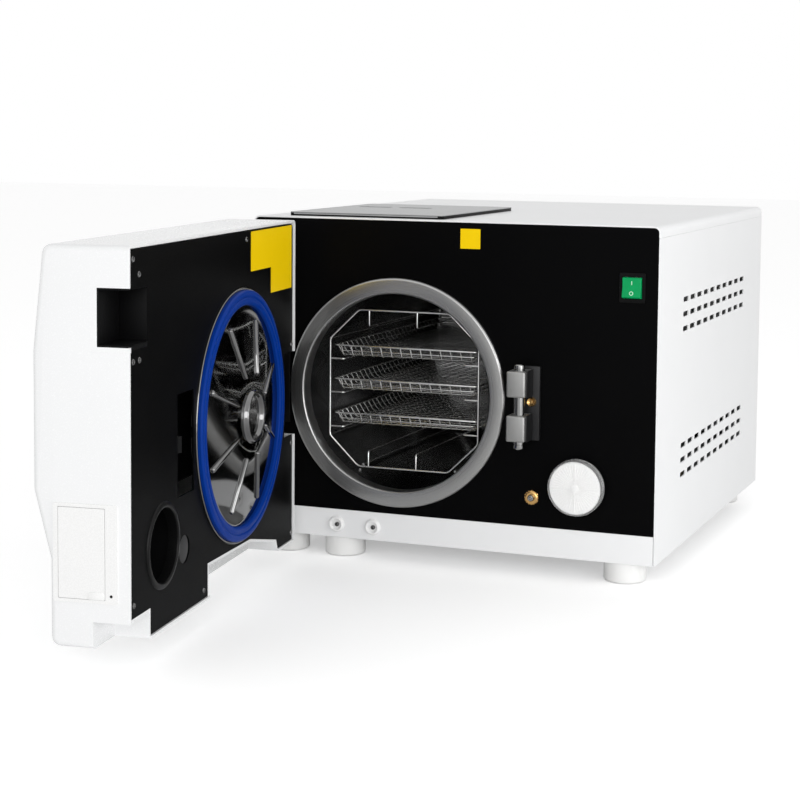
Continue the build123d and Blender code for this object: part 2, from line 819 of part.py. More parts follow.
# Beam across the door, with two knuckles on the hinge pin and two lugs for the latch shaft
beam_front = door_back - beam_gap
beam_back = beam_front - beam_thickness
beam_left = hinge_x + hinge_knuckle_radius + hinge_notch_clear
beam_right = striker_offset - striker_radius - 2 * beam_thickness + running
knuckle_half = hinge_knuckle_height / 2
beam_half = beam_height / 2
hook_y = -hook_pivot_forward
lug_left = beam_right - 2 * beam_thickness
with BuildPart() as door_beam:
    with BuildSketch(front_plane(beam_front)):
        with Locations(((beam_left + beam_right) / 2, chamber_z)):
            Rectangle(beam_right - beam_left, beam_height)
        with Locations((chamber_x, chamber_z)):
            Circle(stud_diameter / 2 + running, mode=Mode.SUBTRACT)
    extrude(amount=beam_thickness)
    with BuildSketch(front_plane(beam_back)):
        with Locations(((beam_left + beam_right) / 2, chamber_z)):
            with GridLocations(beam_post_pitch, beam_post_rise, 2, 2):
                Circle(beam_post_diameter / 2)
    extrude(amount=door_thickness - door_wall - beam_gap - beam_thickness - casing_slip)
    for level in (chamber_z - beam_half, chamber_z + knuckle_half + hinge_slip):
        with BuildSketch(Plane.XY.offset(level)):
            with Locations((hinge_x, hinge_y)):
                Circle(hinge_knuckle_radius)
            with BuildLine():
                Polyline(
                    (hinge_x, hinge_y - hinge_knuckle_radius),
                    (beam_left + 2 * beam_thickness, beam_back),
                    (beam_left + 2 * beam_thickness, beam_front),
                    (beam_left, beam_front),
                    (hinge_x, hinge_y + hinge_knuckle_radius),
                    close=True,
                )
            make_face()
            with Locations((hinge_x, hinge_y)):
                Circle(hinge_pin_diameter / 2 + running, mode=Mode.SUBTRACT)
        extrude(amount=beam_half - knuckle_half - hinge_slip)
    for level in (chamber_z - beam_half, chamber_z + beam_half - latch_lug):
        with BuildSketch(Plane.XY.offset(level)):
            with Locations(((lug_left + striker_offset) / 2, hook_y)):
                Rectangle(striker_offset - lug_left, 2 * hook_boss_radius)
            with Locations((striker_offset, hook_y)):
                Circle(hook_boss_radius)
            with Locations(((lug_left + beam_right) / 2, (beam_front + hook_y) / 2)):
                Rectangle(beam_right - lug_left, beam_front - hook_y)
            with Locations((striker_offset, hook_y)):
                Circle(latch_shaft_diameter / 2 + running, mode=Mode.SUBTRACT)
        extrude(amount=latch_lug)
door_beam.part.label = "door_beam"

# Stud that holds the disc on the beam, with its pad and nut
with BuildPart() as disc_stud:
    with BuildSketch(front_plane(dish_floor - dish_wall)):
        with Locations((chamber_x, chamber_z)):
            Circle(stud_pad_diameter / 2)
    extrude(amount=dish_floor - dish_wall - beam_front)
    with BuildSketch(front_plane(beam_front)):
        with Locations((chamber_x, chamber_z)):
            Circle(stud_diameter / 2)
    extrude(amount=beam_thickness)
    with BuildSketch(front_plane(beam_back)):
        with Locations((chamber_x, chamber_z)):
            RegularPolygon(stud_diameter, 6)
    extrude(amount=stud_diameter / 2)
disc_stud.part.label = "disc_stud"

# Hinge bracket on the front, its arm reaches through the notch in the door to the pin
arm_left = hinge_x - hinge_arm_width / 2
with BuildPart() as hinge_bracket:
    with BuildSketch(front_plane(0)):
        with Locations((arm_left + hinge_base_width / 2, chamber_z)):
            Rectangle(hinge_base_width, hinge_base_height)
    extrude(amount=hinge_base_thickness)
    with BuildSketch(Plane.XY.offset(chamber_z - knuckle_half)):
        with Locations((hinge_x, hinge_y / 2)):
            Rectangle(hinge_arm_width, hinge_forward)
        with Locations((hinge_x, hinge_y)):
            Circle(hinge_knuckle_radius)
            Circle(hinge_pin_diameter / 2 + running, mode=Mode.SUBTRACT)
    extrude(amount=hinge_knuckle_height)
hinge_bracket.part.label = "hinge_bracket"

pin_half = beam_half + hinge_pin_overhang
with BuildPart() as hinge_pin:
    with BuildSketch(Plane.XY.offset(chamber_z - pin_half)):
        with Locations((hinge_x, hinge_y)):
            Circle(hinge_pin_diameter / 2)
    extrude(amount=2 * pin_half)
    with BuildSketch(Plane.XY.offset(chamber_z + beam_half + hinge_slip)):
        with Locations((hinge_x, hinge_y)):
            Circle(hinge_knuckle_radius - running)
    extrude(amount=hinge_pin_overhang)
hinge_pin.part.label = "hinge_pin"

# Striker block on the front panel with its vertical pin, brass screw beside it
striker_y = -striker_forward
striker_left = striker_offset - striker_radius
with BuildPart() as striker_block:
    with BuildSketch(front_plane(0)):
        with Locations((striker_left + striker_flange / 2, latch_z)):
            Rectangle(striker_flange, striker_height)
    extrude(amount=striker_base)
    half_gap = striker_gap / 2
    for level in (latch_z - striker_height / 2, latch_z + half_gap):
        with BuildSketch(Plane.XY.offset(level)):
            with Locations((striker_offset, striker_y)):
                Circle(striker_radius)
            with Locations((striker_offset, striker_y / 2)):
                Rectangle(2 * striker_radius, striker_forward)
            with Locations((striker_offset, striker_y)):
                Circle(striker_pin_diameter / 2 + running, mode=Mode.SUBTRACT)
        extrude(amount=striker_height / 2 - half_gap)
striker_block.part.label = "striker_block"

with BuildPart() as striker_pin:
    with BuildSketch(Plane.XY.offset(latch_z - striker_pin_length / 2)):
        with Locations((striker_offset, striker_y)):
            Circle(striker_pin_diameter / 2)
    extrude(amount=striker_pin_length)
    chamfer(striker_pin.edges().filter_by(GeomType.CIRCLE), length=1)
striker_pin.part.label = "striker_pin"

screw_x = striker_left + striker_flange - striker_base
with BuildPart() as striker_screw:
    with BuildSketch(front_plane(-striker_base)):
        with Locations((screw_x, latch_z)):
            RegularPolygon(striker_base * 0.7, 6)
    extrude(amount=striker_base / 2)
striker_screw.part.label = "striker_screw"

# Latch hook, drawn gripping the pin, and the shaft that turns it
pin_radius = striker_pin_diameter / 2
finger_front = striker_y + pin_radius + hook_grip
finger_back = finger_front + hook_finger
arm_inside = striker_offset + pin_radius + hook_side_gap
arm_outside = arm_inside + hook_arm
hook_bottom = latch_z - hook_height / 2
with BuildPart() as latch_hook:
    with BuildSketch(Plane.XY.offset(hook_bottom)):
        with Locations((striker_offset, hook_y)):
            Circle(hook_boss_radius)
        with BuildLine():
            Polyline(
                (striker_offset, hook_y - hook_boss_radius),
                (striker_offset + hook_boss_radius, hook_y),
                (arm_outside, hook_y + 1.5 * hook_boss_radius),
                (arm_outside, finger_front),
                (arm_inside + hook_arm / 2, finger_back),
                (striker_offset - pin_radius, finger_back),
                (striker_offset - pin_radius - hook_grip, finger_front),
                (arm_inside, finger_front),
                (arm_inside, hook_y + 1.8 * hook_boss_radius),
                (striker_offset, hook_y + hook_boss_radius),
                close=True,
            )
        make_face()
        with Locations((striker_offset, hook_y)):
            Circle(latch_shaft_diameter / 2, mode=Mode.SUBTRACT)
    extrude(amount=hook_height)
latch_hook.part.label = "latch_hook"

motor_floor = chamber_z + beam_half
with BuildPart() as latch_shaft:
    with BuildSketch(Plane.XY.offset(chamber_z - beam_half)):
        with Locations((striker_offset, hook_y)):
            Circle(latch_shaft_diameter / 2)
    extrude(amount=beam_height + latch_lug)
latch_shaft.part.label = "latch_shaft"

with BuildPart() as latch_motor:
    with BuildSketch(Plane.XY.offset(motor_floor)):
        with Locations((striker_offset, hook_y)):
            Rectangle(2.6 * hook_boss_radius, 2.6 * hook_boss_radius)
    extrude(amount=4 * latch_lug)
    with BuildSketch(Plane.XY.offset(motor_floor)):
        with Locations((striker_offset, hook_y)):
            Circle(latch_shaft_diameter / 2 + running)
    extrude(amount=2 * latch_lug, mode=Mode.SUBTRACT)
latch_motor.part.label = "latch_motor"

# Power switch: a bezel on the panel and a rocker in it
with BuildPart() as switch_bezel:
    with BuildSketch(front_plane(0)):
        with Locations((switch_offset, switch_z)):
            RectangleRounded(switch_width, switch_height, radius=2)
            Rectangle(rocker_width + 2 * rocker_clear, rocker_hole, mode=Mode.SUBTRACT)
    extrude(amount=bezel_proud)
switch_bezel.part.label = "switch_bezel"

rocker_y = -bezel_proud / 2
rocker_face = rocker_y - 2 * bezel_proud
rocker_foot = rocker_face - 2 * rocker_radius * tan(radians(rocker_throw))
with BuildPart() as power_rocker:
    with BuildSketch(side_plane(switch_offset - rocker_width / 2)):
        with Locations((rocker_y, switch_z)):
            Circle(rocker_radius)
        with BuildLine():
            Polyline(
                (rocker_face, switch_z),
                (rocker_face, switch_z + 2 * rocker_radius),
                (rocker_y - 3 * rocker_radius, switch_z + 2 * rocker_radius),
                (rocker_y - 3 * rocker_radius, switch_z - 2 * rocker_radius),
                (rocker_foot, switch_z - 2 * rocker_radius),
                close=True,
            )
        make_face(mode=Mode.SUBTRACT)
    extrude(amount=rocker_width)
power_rocker.part.label = "power_rocker"

# Air filter: a ribbed round housing on a short neck
filter_back = -filter_neck
with BuildPart() as air_filter:
    with BuildSketch(front_plane(filter_back)):
        with Locations((filter_offset, filter_z)):
            Circle(filter_diameter / 2)
    extrude(amount=filter_thickness - filter_neck)
    front_rim = air_filter.edges().filter_by(GeomType.CIRCLE).group_by(Axis.Y)[0]
    chamfer(front_rim, length=3)
    with BuildSketch(front_plane(filter_back - filter_thickness + filter_neck)):
        with Locations((filter_offset, filter_z)):
            with PolarLocations(filter_diameter * 0.26, filter_ribs):
                Rectangle(filter_diameter * 0.32, 1.2)
            Circle(filter_diameter / 8)
    extrude(amount=1.2)
    with BuildSketch(front_plane(0)):
        with Locations((filter_offset, filter_z)):
            Circle(filter_neck_diameter / 2 + sheet)
    extrude(amount=filter_neck)
    with BuildSketch(front_plane(2 * filter_neck)):
        with Locations((filter_offset, filter_z)):
            Circle(filter_neck_diameter / 2)
    extrude(amount=2 * filter_neck)
air_filter.part.label = "air_filter"

with BuildPart() as brass_port:
    with BuildSketch(front_plane(0)):
        with Locations((port_offset, port_z)):
            RegularPolygon(port_diameter / 2, 8)
    extrude(amount=port_proud / 2)
    with BuildSketch(front_plane(-port_proud / 2)):
        with Locations((port_offset, port_z)):
            Circle(port_diameter / 2.6)
    extrude(amount=port_proud / 2)
    with BuildSketch(front_plane(2 * port_proud)):
        with Locations((port_offset, port_z)):
            Circle(port_neck)
    extrude(amount=2 * port_proud)
    with BuildSketch(front_plane(-port_proud)):
        with Locations((port_offset, port_z)):
            Circle(port_diameter / 7)
    extrude(amount=-port_proud, mode=Mode.SUBTRACT)
brass_port.part.label = "brass_port"

# Two drain valves in the white strip
with BuildPart() as drain_valves:
    for offset_x in (drain_left_offset, drain_right_offset):
        with BuildSketch(front_plane(0)):
            with Locations((-offset_x, casing_bottom + drain_rise)):
                Circle(drain_diameter / 2)
        extrude(amount=drain_proud)
        with BuildSketch(front_plane(3 * drain_bore)):
            with Locations((-offset_x, casing_bottom + drain_rise)):
                Circle(drain_bore)
        extrude(amount=3 * drain_bore)
        with BuildSketch(front_plane(-drain_proud)):
            with Locations((-offset_x, casing_bottom + drain_rise)):
                Circle(drain_bore / 2)
        extrude(amount=-2 * drain_proud, mode=Mode.SUBTRACT)
drain_valves.part.label = "drain_valves"

# Printer bay in the free side: frame, hinged lid and the printer behind it
printer_middle = door_back - printer_setback - printer_width / 2
printer_z = casing_bottom + printer_rise
lid_middle = door_back - printer_lid_setback - printer_lid_width / 2
with BuildPart() as printer_frame:
    with BuildSketch(side_plane(half_width)):
        with Locations((printer_middle, printer_z)):
            RectangleRounded(printer_width, printer_height, radius=2)
        with Locations((lid_middle, printer_z)):
            Rectangle(
                printer_lid_width + 2 * rocker_clear,
                printer_lid_height + 2 * rocker_clear,
                mode=Mode.SUBTRACT,
            )
    extrude(amount=printer_frame_depth)
printer_frame.part.label = "printer_frame"

lid_edge = lid_middle - printer_lid_width / 2
with BuildPart() as printer_lid:
    with BuildSketch(side_plane(half_width + printer_frame_depth - printer_lid_thickness)):
        with Locations((lid_middle, printer_z)):
            Rectangle(printer_lid_width, printer_lid_height)
    extrude(amount=printer_lid_thickness)
    with BuildSketch(side_plane(half_width + printer_frame_depth)):
        with Locations((lid_middle + printer_lid_width * 0.32, printer_z - printer_lid_height * 0.46)):
            Rectangle(printer_lid_width / 3, printer_lid_height / 12)
    extrude(amount=1)
printer_lid.part.label = "printer_lid"

with BuildPart() as printer_unit:
    with BuildSketch(side_plane(half_width - door_wall)):
        with Locations((printer_middle, printer_z)):
            Rectangle(printer_width, printer_height)
    extrude(amount=-printer_depth)
printer_unit.part.label = "printer_unit"

# Display window in the front of the door, and its board
door_front = door_back - door_thickness
with BuildPart() as display_window:
    with BuildSketch(front_plane(door_front)):
        with Locations((display_offset, casing_bottom + display_rise)):
            RectangleRounded(display_width, display_height, radius=3)
    extrude(amount=display_thickness)
display_window.part.label = "display_window"

with BuildPart() as display_board:
    with BuildSketch(front_plane(door_front)):
        with Locations((display_offset, casing_bottom + display_rise)):
            Rectangle(display_width - 3 * door_wall, display_height - 3 * door_wall)
    extrude(amount=-3 * display_thickness)
display_board.part.label = "display_board"

# Wire rack: straight wires welded into two octagonal end frames, joined by rails, guides and
# two runners that lie in the chamber
rack_front = rack_setback
rack_back = rack_setback + rack_length

# Corners of the rack's end frames, clockwise from the top right
right_corners = [
    (rack_half_flat, rack_top_rise),
    (rack_half_width, rack_shoulder_high),
    (rack_half_width, -rack_shoulder_low),
    (rack_half_flat, -rack_bottom_drop),
]
left_corners = [(-x, z) for x, z in reversed(right_corners)]
end_corners = [(chamber_x + x, chamber_z + z) for x, z in right_corners + left_corners]

tray_levels = [chamber_z + tray_top_rise - index * tray_pitch for index in range(tray_count)]
half_wire = wire / 2
rail_x = rack_half_width - rail_reach
stub_length = rail_reach - weld_gap
guide_x = [chamber_x - rack_guide_shift + side * rack_guide_pitch / 2 for side in (-1, 1)]
guide_high = chamber_z + rack_top_rise - rack_guide_drop
guide_low = chamber_z - rack_bottom_drop + rack_guide_drop
hook_length = rack_guide_drop - weld_gap
runner_radius = chamber_radius - curve_gap - rack_runner_diameter / 2
runner_share = runner_radius / hypot(rack_half_flat, rack_bottom_drop)
runner_z = chamber_z - runner_share * rack_bottom_drop
with BuildPart() as rack_frame:
    for depth in (rack_front + wire, rack_back):
        with BuildSketch(front_plane(depth)):
            for start, end in zip(end_corners, end_corners[1:] + end_corners[:1]):
                run = Vector(*end) - Vector(*start)
                slant = degrees(atan2(run.Y, run.X))
                with Locations(Location((Vector(*start) + Vector(*end)) / 2, (0, 0, slant))):
                    Rectangle(run.length - 2 * corner_trim * half_wire - 2 * weld_gap, wire)
            for side in (-1, 1):
                for level in tray_levels:
                    with Locations((
                        chamber_x + side * (rack_half_width - half_wire - weld_gap - stub_length / 2),
                        level - tray_height - tray_rest_gap - half_wire,
                    )):
                        Rectangle(stub_length, wire)
            for x in guide_x:
                with Locations(
                    (x, chamber_z + rack_top_rise - half_wire - weld_gap - hook_length / 2),
                    (x, chamber_z - rack_bottom_drop + half_wire + weld_gap + hook_length / 2),
                ):
                    Rectangle(wire, hook_length)
        extrude(amount=wire)
    with BuildSketch(front_plane(rack_back - wire - weld_gap)):
        for side in (-1, 1):
            for level in tray_levels:
                with Locations((chamber_x + side * rail_x, level - tray_height - tray_rest_gap - half_wire)):
                    Rectangle(wire, wire)
            with Locations(
                (chamber_x + side * rack_half_width, chamber_z + rack_shoulder_high),
                (chamber_x + side * rack_half_width, chamber_z - rack_shoulder_low),
            ):
                Rectangle(wire, wire)
        for x in guide_x:
            with Locations((x, guide_high), (x, guide_low)):
                Rectangle(wire, wire)
    extrude(amount=rack_length - 2 * wire - 2 * weld_gap)
    with BuildSketch(front_plane(rack_back)):
        for side in (-1, 1):
            with Locations((chamber_x + side * runner_share * rack_half_flat, runner_z)):
                Circle(rack_runner_diameter / 2)
    extrude(amount=rack_length)
rack_frame.part.label = "rack_frame"

# Wire trays: a mesh floor with four mesh sides welded on it, each under a heavy rim wire
tray_front = rack_front + (rack_length - tray_length) / 2
tray_middle = tray_front + tray_length / 2
mesh_rows = int(tray_length / tray_mesh_pitch)
mesh_step_y = (tray_length - tray_wire) / mesh_rows
mesh_step_x = (tray_width - tray_wire) / tray_mesh_columns
side_step = (tray_width - tray_wire) / (2 * tray_mesh_columns)


def wire_tray(level):
    """One tray whose rim is at the given height: a mesh floor and four mesh sides."""
    floor = level - tray_height
    upright = tray_height - tray_wire - tray_rim - weld_gap
    upright_middle = level - tray_rim - upright / 2
    with BuildPart() as tray:
        with BuildSketch(Plane.XY.offset(floor)):
            with Locations((chamber_x, tray_middle)):
                Rectangle(tray_width, tray_length)
                with GridLocations(mesh_step_x, mesh_step_y, tray_mesh_columns, mesh_rows):
                    Rectangle(mesh_step_x - tray_wire, mesh_step_y - tray_wire, mode=Mode.SUBTRACT)
        extrude(amount=tray_wire)
        for side in (-1, 1):
            wall_x = chamber_x + side * (tray_width - tray_wire) / 2
            with BuildSketch(side_plane(wall_x - tray_wire / 2)):
                with Locations((tray_middle, level - tray_rim / 2)):
                    Rectangle(tray_length, tray_rim)
                with Locations((tray_middle, upright_middle)):
                    with GridLocations(mesh_step_y, 1, mesh_rows + 1, 1):
                        Rectangle(tray_wire, upright)
            extrude(amount=tray_wire)
            wall_y = tray_middle + side * (tray_length - tray_wire) / 2
            with BuildSketch(front_plane(wall_y + tray_wire / 2)):
                with Locations((chamber_x, level - tray_rim / 2)):
                    Rectangle(tray_width - 2 * tray_wire - 2 * weld_gap, tray_rim)
                with Locations((chamber_x, upright_middle)):
                    with GridLocations(side_step, 1, 2 * tray_mesh_columns - 1, 1):
                        Rectangle(tray_wire, upright)
            extrude(amount=tray_wire)
    return tray


tray_1 = wire_tray(tray_levels[0])
tray_1.part.label = "tray_1"
tray_2 = wire_tray(tray_levels[1])
tray_2.part.label = "tray_2"
tray_3 = wire_tray(tray_levels[2])
tray_3.part.label = "tray_3"

# Cooling fan on the rear panel
fan_back = rear_inside
with BuildPart() as fan_frame:
    with BuildSketch(front_plane(fan_back)):
        with Locations((fan_offset, fan_z)):
            RectangleRounded(fan_size, fan_size, radius=5)
            Circle(fan_bore_radius, mode=Mode.SUBTRACT)
    extrude(amount=fan_depth)
    with BuildSketch(front_plane(fan_back)):
        with Locations((fan_offset, fan_z)):
            Rectangle(2 * fan_bore_radius + sheet, fan_spider)
            Rectangle(fan_spider, 2 * fan_bore_radius + sheet)
            Circle(fan_hub_radius)
    extrude(amount=2 * sheet)
    with BuildSketch(front_plane(fan_back - 2 * sheet)):
        with Locations((fan_offset, fan_z)):
            Circle(fan_spider / 2 - running)
    extrude(amount=fan_depth - 4 * sheet - running)
fan_frame.part.label = "fan_frame"

blade_radius = fan_bore_radius - fan_blade_gap
with BuildPart() as fan_rotor:
    with BuildSketch(front_plane(fan_back - 3 * sheet)):
        with Locations((fan_offset, fan_z)):
            Circle(fan_hub_radius)
    extrude(amount=fan_depth - 4 * sheet)
    for blade in range(fan_blades):
        turn = blade * 360 / fan_blades
        blade_plane = Plane(
            origin=(fan_offset, fan_back - fan_depth / 2 - sheet, fan_z),
            x_dir=(sin(radians(turn)), 0, cos(radians(turn))),
            z_dir=(cos(radians(turn)), 1.2, -sin(radians(turn))),
        )
        with BuildSketch(blade_plane):
            with Locations(((blade_radius + fan_hub_radius / 2) / 2, 0)):
                Rectangle(blade_radius - fan_hub_radius / 2, 18)
        extrude(amount=sheet / 2, both=True)
    with BuildSketch(front_plane(fan_back)):
        with Locations((fan_offset, fan_z)):
            Circle(blade_radius + fan_depth)
            Circle(blade_radius, mode=Mode.SUBTRACT)
    extrude(amount=fan_depth, mode=Mode.SUBTRACT)
    with BuildSketch(front_plane(fan_back)):
        with Locations((fan_offset, fan_z)):
            Circle(fan_spider / 2)
    extrude(amount=fan_depth - 2 * sheet, mode=Mode.SUBTRACT)
fan_rotor.part.label = "fan_rotor"

# Condenser: a finned block in front of the fan
fin_count = 9
fin_thickness = 1.5
condenser_depth = 42.0
fin_pitch = (fan_size - fin_thickness) / (fin_count - 1)
condenser_back = fan_back - fan_depth
with BuildPart() as condenser:
    with BuildSketch(front_plane(condenser_back)):
        with Locations((fan_offset, fan_z)):
            with GridLocations(fin_pitch, 1, fin_count, 1):
                Rectangle(fin_thickness, fan_size)
            with GridLocations(1, fan_size / 3, 1, 3):
                Rectangle(fan_size, 8)
    extrude(amount=condenser_depth)
condenser.part.label = "condenser"

# Working parts on the base, to the right of the chamber
bay_left = chamber_x + jacket_outer + 2 * cradle_plate
bay_right = panel_half - 2 * cradle_plate
generator_radius = 42.0
generator_height = 150.0
generator_y = 110.0
with BuildPart() as steam_generator:
    with BuildSketch(Plane.XY.offset(tray_floor)):
        with Locations((bay_left + generator_radius, generator_y)):
            Circle(generator_radius)
    extrude(amount=generator_height)
    with BuildSketch(Plane.XY.offset(tray_floor + generator_height)):
        with Locations((bay_left + generator_radius, generator_y)):
            with PolarLocations(generator_radius / 2, 3):
                Circle(5)
    extrude(amount=16)
steam_generator.part.label = "steam_generator"

pump_length = 170.0
pump_radius = 34.0
pump_y = 290.0
pump_z = tray_floor + 2 * pump_radius
pump_x = bay_left + 1.6 * pump_radius
with BuildPart() as vacuum_pump:
    with BuildSketch(front_plane(pump_y + pump_length / 2)):
        with Locations((pump_x, pump_z)):
            Circle(pump_radius)
    extrude(amount=pump_length)
    with BuildSketch(Plane.XY.offset(tray_floor)):
        with Locations((pump_x, pump_y)):
            Rectangle(2 * pump_radius, pump_length * 0.6)
    extrude(amount=1.3 * pump_radius)
    with BuildSketch(Plane.XY.offset(pump_z)):
        with Locations((pump_x, pump_y)):
            with GridLocations(1, pump_length - 1.2 * pump_radius, 1, 2):
                Rectangle(1.4 * pump_radius, pump_radius)
    extrude(amount=1.7 * pump_radius)
vacuum_pump.part.label = "vacuum_pump"

water_pump_size = 46.0
with BuildPart() as water_pump:
    with BuildSketch(Plane.XY.offset(tray_floor)):
        with Locations((bay_right - water_pump_size / 2, generator_y)):
            Rectangle(water_pump_size, 1.6 * water_pump_size)
    extrude(amount=water_pump_size)
    with BuildSketch(front_plane(generator_y - 0.8 * water_pump_size)):
        with Locations((bay_right - water_pump_size / 2, tray_floor + water_pump_size / 2)):
            Circle(water_pump_size * 0.4)
    extrude(amount=water_pump_size / 4)
water_pump.part.label = "water_pump"

valve_block = 26.0
valve_block_y = 215.0
with BuildPart() as solenoid_valves:
    with BuildSketch(Plane.XY.offset(tray_floor)):
        with Locations((bay_right - valve_block, valve_block_y + 2 * valve_block)):
            Rectangle(valve_block, 5 * valve_block)
    extrude(amount=valve_block)
    with BuildSketch(Plane.XY.offset(tray_floor + valve_block)):
        with Locations((bay_right - valve_block, valve_block_y + 2 * valve_block)):
            with GridLocations(1, 1.5 * valve_block, 1, 3):
                Rectangle(valve_block * 0.8, valve_block)
    extrude(amount=valve_block * 1.2)
solenoid_valves.part.label = "solenoid_valves"

supply_width = 100.0
supply_length = 120.0
supply_height = 62.0
supply_rear_gap = 52.0
supply_y = rear_inside - supply_rear_gap - supply_length / 2
with BuildPart() as power_supply:
    with BuildSketch(Plane.XY.offset(tray_floor)):
        with Locations((bay_right - supply_width / 2, supply_y)):
            Rectangle(supply_width, supply_length)
    extrude(amount=supply_height)
power_supply.part.label = "power_supply"

board_length = 220.0
board_height = 88.0
board_z = casing_bottom + (vent_upper_rise + vent_lower_rise) / 2
board_gap = 12.0
board_inset = 16.0
board_chip_length = 34.0
board_chip_width = 22.0
board_chip_height = 16.0
board_post_radius = 4.0
board_x = half_width - sheet - board_gap
with BuildPart() as control_board:
    with BuildSketch(side_plane(board_x)):
        with Locations((vent_middle_y, board_z)):
            Rectangle(board_length, board_height)
    extrude(amount=-sheet)
    with BuildSketch(side_plane(board_x)):
        with Locations((vent_middle_y, board_z)):
            with GridLocations(board_length - board_inset, board_height - board_inset, 2, 2):
                Circle(board_post_radius)
    extrude(amount=board_gap)
    with BuildSketch(side_plane(board_x - sheet)):
        with Locations((vent_middle_y, board_z)):
            with GridLocations(board_length / 3, board_height / 2, 3, 2):
                Rectangle(board_chip_length, board_chip_width)
    extrude(amount=-board_chip_height)
control_board.part.label = "control_board"

# Safety valve and mains inlet on the rear panel
with BuildPart() as safety_valve:
    with BuildSketch(front_plane(casing_depth + valve_proud)):
        with Locations((chamber_x, valve_z)):
            Circle(valve_radius * 0.7)
    extrude(amount=valve_proud)
    with BuildSketch(front_plane(casing_depth + valve_proud / 2)):
        with Locations((chamber_x, valve_z)):
            RegularPolygon(1.6 * valve_radius, 6)
    extrude(amount=valve_proud / 2)
    with BuildSketch(front_plane(casing_depth)):
        with Locations((chamber_x, valve_z)):
            Circle(valve_radius)
    extrude(amount=valve_proud)
safety_valve.part.label = "safety_valve"

with BuildPart() as mains_inlet:
    with BuildSketch(front_plane(casing_depth + sheet)):
        with Locations((inlet_offset, inlet_z)):
            RectangleRounded(inlet_width + 4 * sheet, inlet_height + 4 * sheet, radius=3)
    extrude(amount=sheet)
    with BuildSketch(front_plane(casing_depth)):
        with Locations((inlet_offset, inlet_z)):
            Rectangle(inlet_width, inlet_height)
    extrude(amount=22)
    with BuildSketch(front_plane(casing_depth + sheet)):
        with Locations((inlet_offset, inlet_z)):
            Rectangle(inlet_width - 5 * sheet, inlet_height - 3 * sheet)
    extrude(amount=18, mode=Mode.SUBTRACT)
    with BuildSketch(front_plane(casing_depth)):
        with Locations((inlet_offset, inlet_z)):
            with GridLocations(11, 1, 3, 1):
                Rectangle(2.2, 7)
    extrude(amount=18)
mains_inlet.part.label = "mains_inlet"

# Screws of the door panel, in pairs at the free corner and singly along the other edges
screw_right = inner_half - screw_edge
screw_inner = screw_right - screw_pair_step
screw_left = -inner_half + screw_edge / 2
screw_spots = [
    (screw_right, inner_top - screw_edge),
    (screw_inner, inner_top - screw_edge - screw_pair_step),
    (screw_right, recess_z - screw_recess_drop),
    (screw_inner, recess_z - screw_recess_drop),
    (screw_right, notch_top + screw_pair_step),
    (chamber_x - screw_middle_step, inner_top - screw_edge),
    (pocket_right + screw_pair_step, inner_bottom + screw_edge),
    (screw_left, chamber_z + hinge_notch_height / 2 + screw_edge),
    (screw_left, chamber_z - hinge_notch_height / 2 - screw_edge),
    (screw_left, inner_bottom + screw_edge),
]
with BuildPart() as door_screws:
    with BuildSketch(front_plane(door_back + screw_head)):
        with Locations(*screw_spots):
            RegularPolygon(screw_radius, 10)
    extrude(amount=screw_head)
door_screws.part.label = "door_screws"

# The hook is turned back to free the pin, then everything on the door swings open
hook_back = Location((striker_offset, hook_y, 0)) * Location((0, 0, 0), (0, 0, -hook_release))
hook_back = hook_back * Location((-striker_offset, -hook_y, 0))
latch_hook.part.move(hook_back)
door_swing = Location((hinge_x, hinge_y, 0)) * Location((0, 0, 0), (0, 0, -open_angle))
door_swing = door_swing * Location((-hinge_x, -hinge_y, 0))
door_pieces = [
    door_shell,
    door_panel,
    switch_recess,
    filter_cup,
    port_cup,
    door_disc,
    gasket,
    door_beam,
    disc_stud,
    latch_hook,
    latch_shaft,
    latch_motor,
    printer_frame,
    printer_lid,
    printer_unit,
    display_window,
    display_board,
    door_screws,
]
for piece in door_pieces:
    piece.part.move(door_swing)

casing_pieces = [
    base_tray,
    feet,
    left_side_panel,
    right_side_panel,
    top_cover,
    front_panel,
    rear_panel,
    flange_ring,
    chamber,
    heater_bands,
    insulation,
    chamber_cradle,
    water_tank,
    lid_trim,
    tank_lid,
    hinge_bracket,
    hinge_pin,
    striker_block,
    striker_pin,
    striker_screw,
    switch_bezel,
    power_rocker,
    air_filter,
    brass_port,
    drain_valves,
    rack_frame,
    tray_1,
    tray_2,
    tray_3,
    fan_frame,
    fan_rotor,
    condenser,
    steam_generator,
    vacuum_pump,
    water_pump,
    solenoid_valves,
    power_supply,
    control_board,
    safety_valve,
    mains_inlet,
]
pieces = casing_pieces + door_pieces

# The origin is the middle of the whole footprint, on the table
boxes = [piece.part.bounding_box() for piece in pieces]
middle_x = (min(box.min.X for box in boxes) + max(box.max.X for box in boxes)) / 2
middle_y = (min(box.min.Y for box in boxes) + max(box.max.Y for box in boxes)) / 2
to_origin = Location((-middle_x, -middle_y, 0))
print(f"origin at x {middle_x:.3f}, y {middle_y:.3f} of the drawing")

os.makedirs("parts", exist_ok=True)
for piece in pieces:
    piece.part.move(to_origin)
    export_step(piece.part, f"parts/{piece.part.label}.step")
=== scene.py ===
"""A benchtop autoclave with its door open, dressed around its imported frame.

All sizes are in the millimetres of the machine's own drawing: x to the right from the casing's
middle, y to the back from the black front panel, z up from the table. Pieces of the door are
drawn with the door closed and swung open with it.
"""

import bmesh
import bpy
import json
import logging
from collections.abc import Iterable, Sequence
from dataclasses import dataclass
from enum import Enum
from math import atan2, hypot, pi, radians, tan
from mathutils import Matrix, Vector
from mathutils.geometry import interpolate_bezier


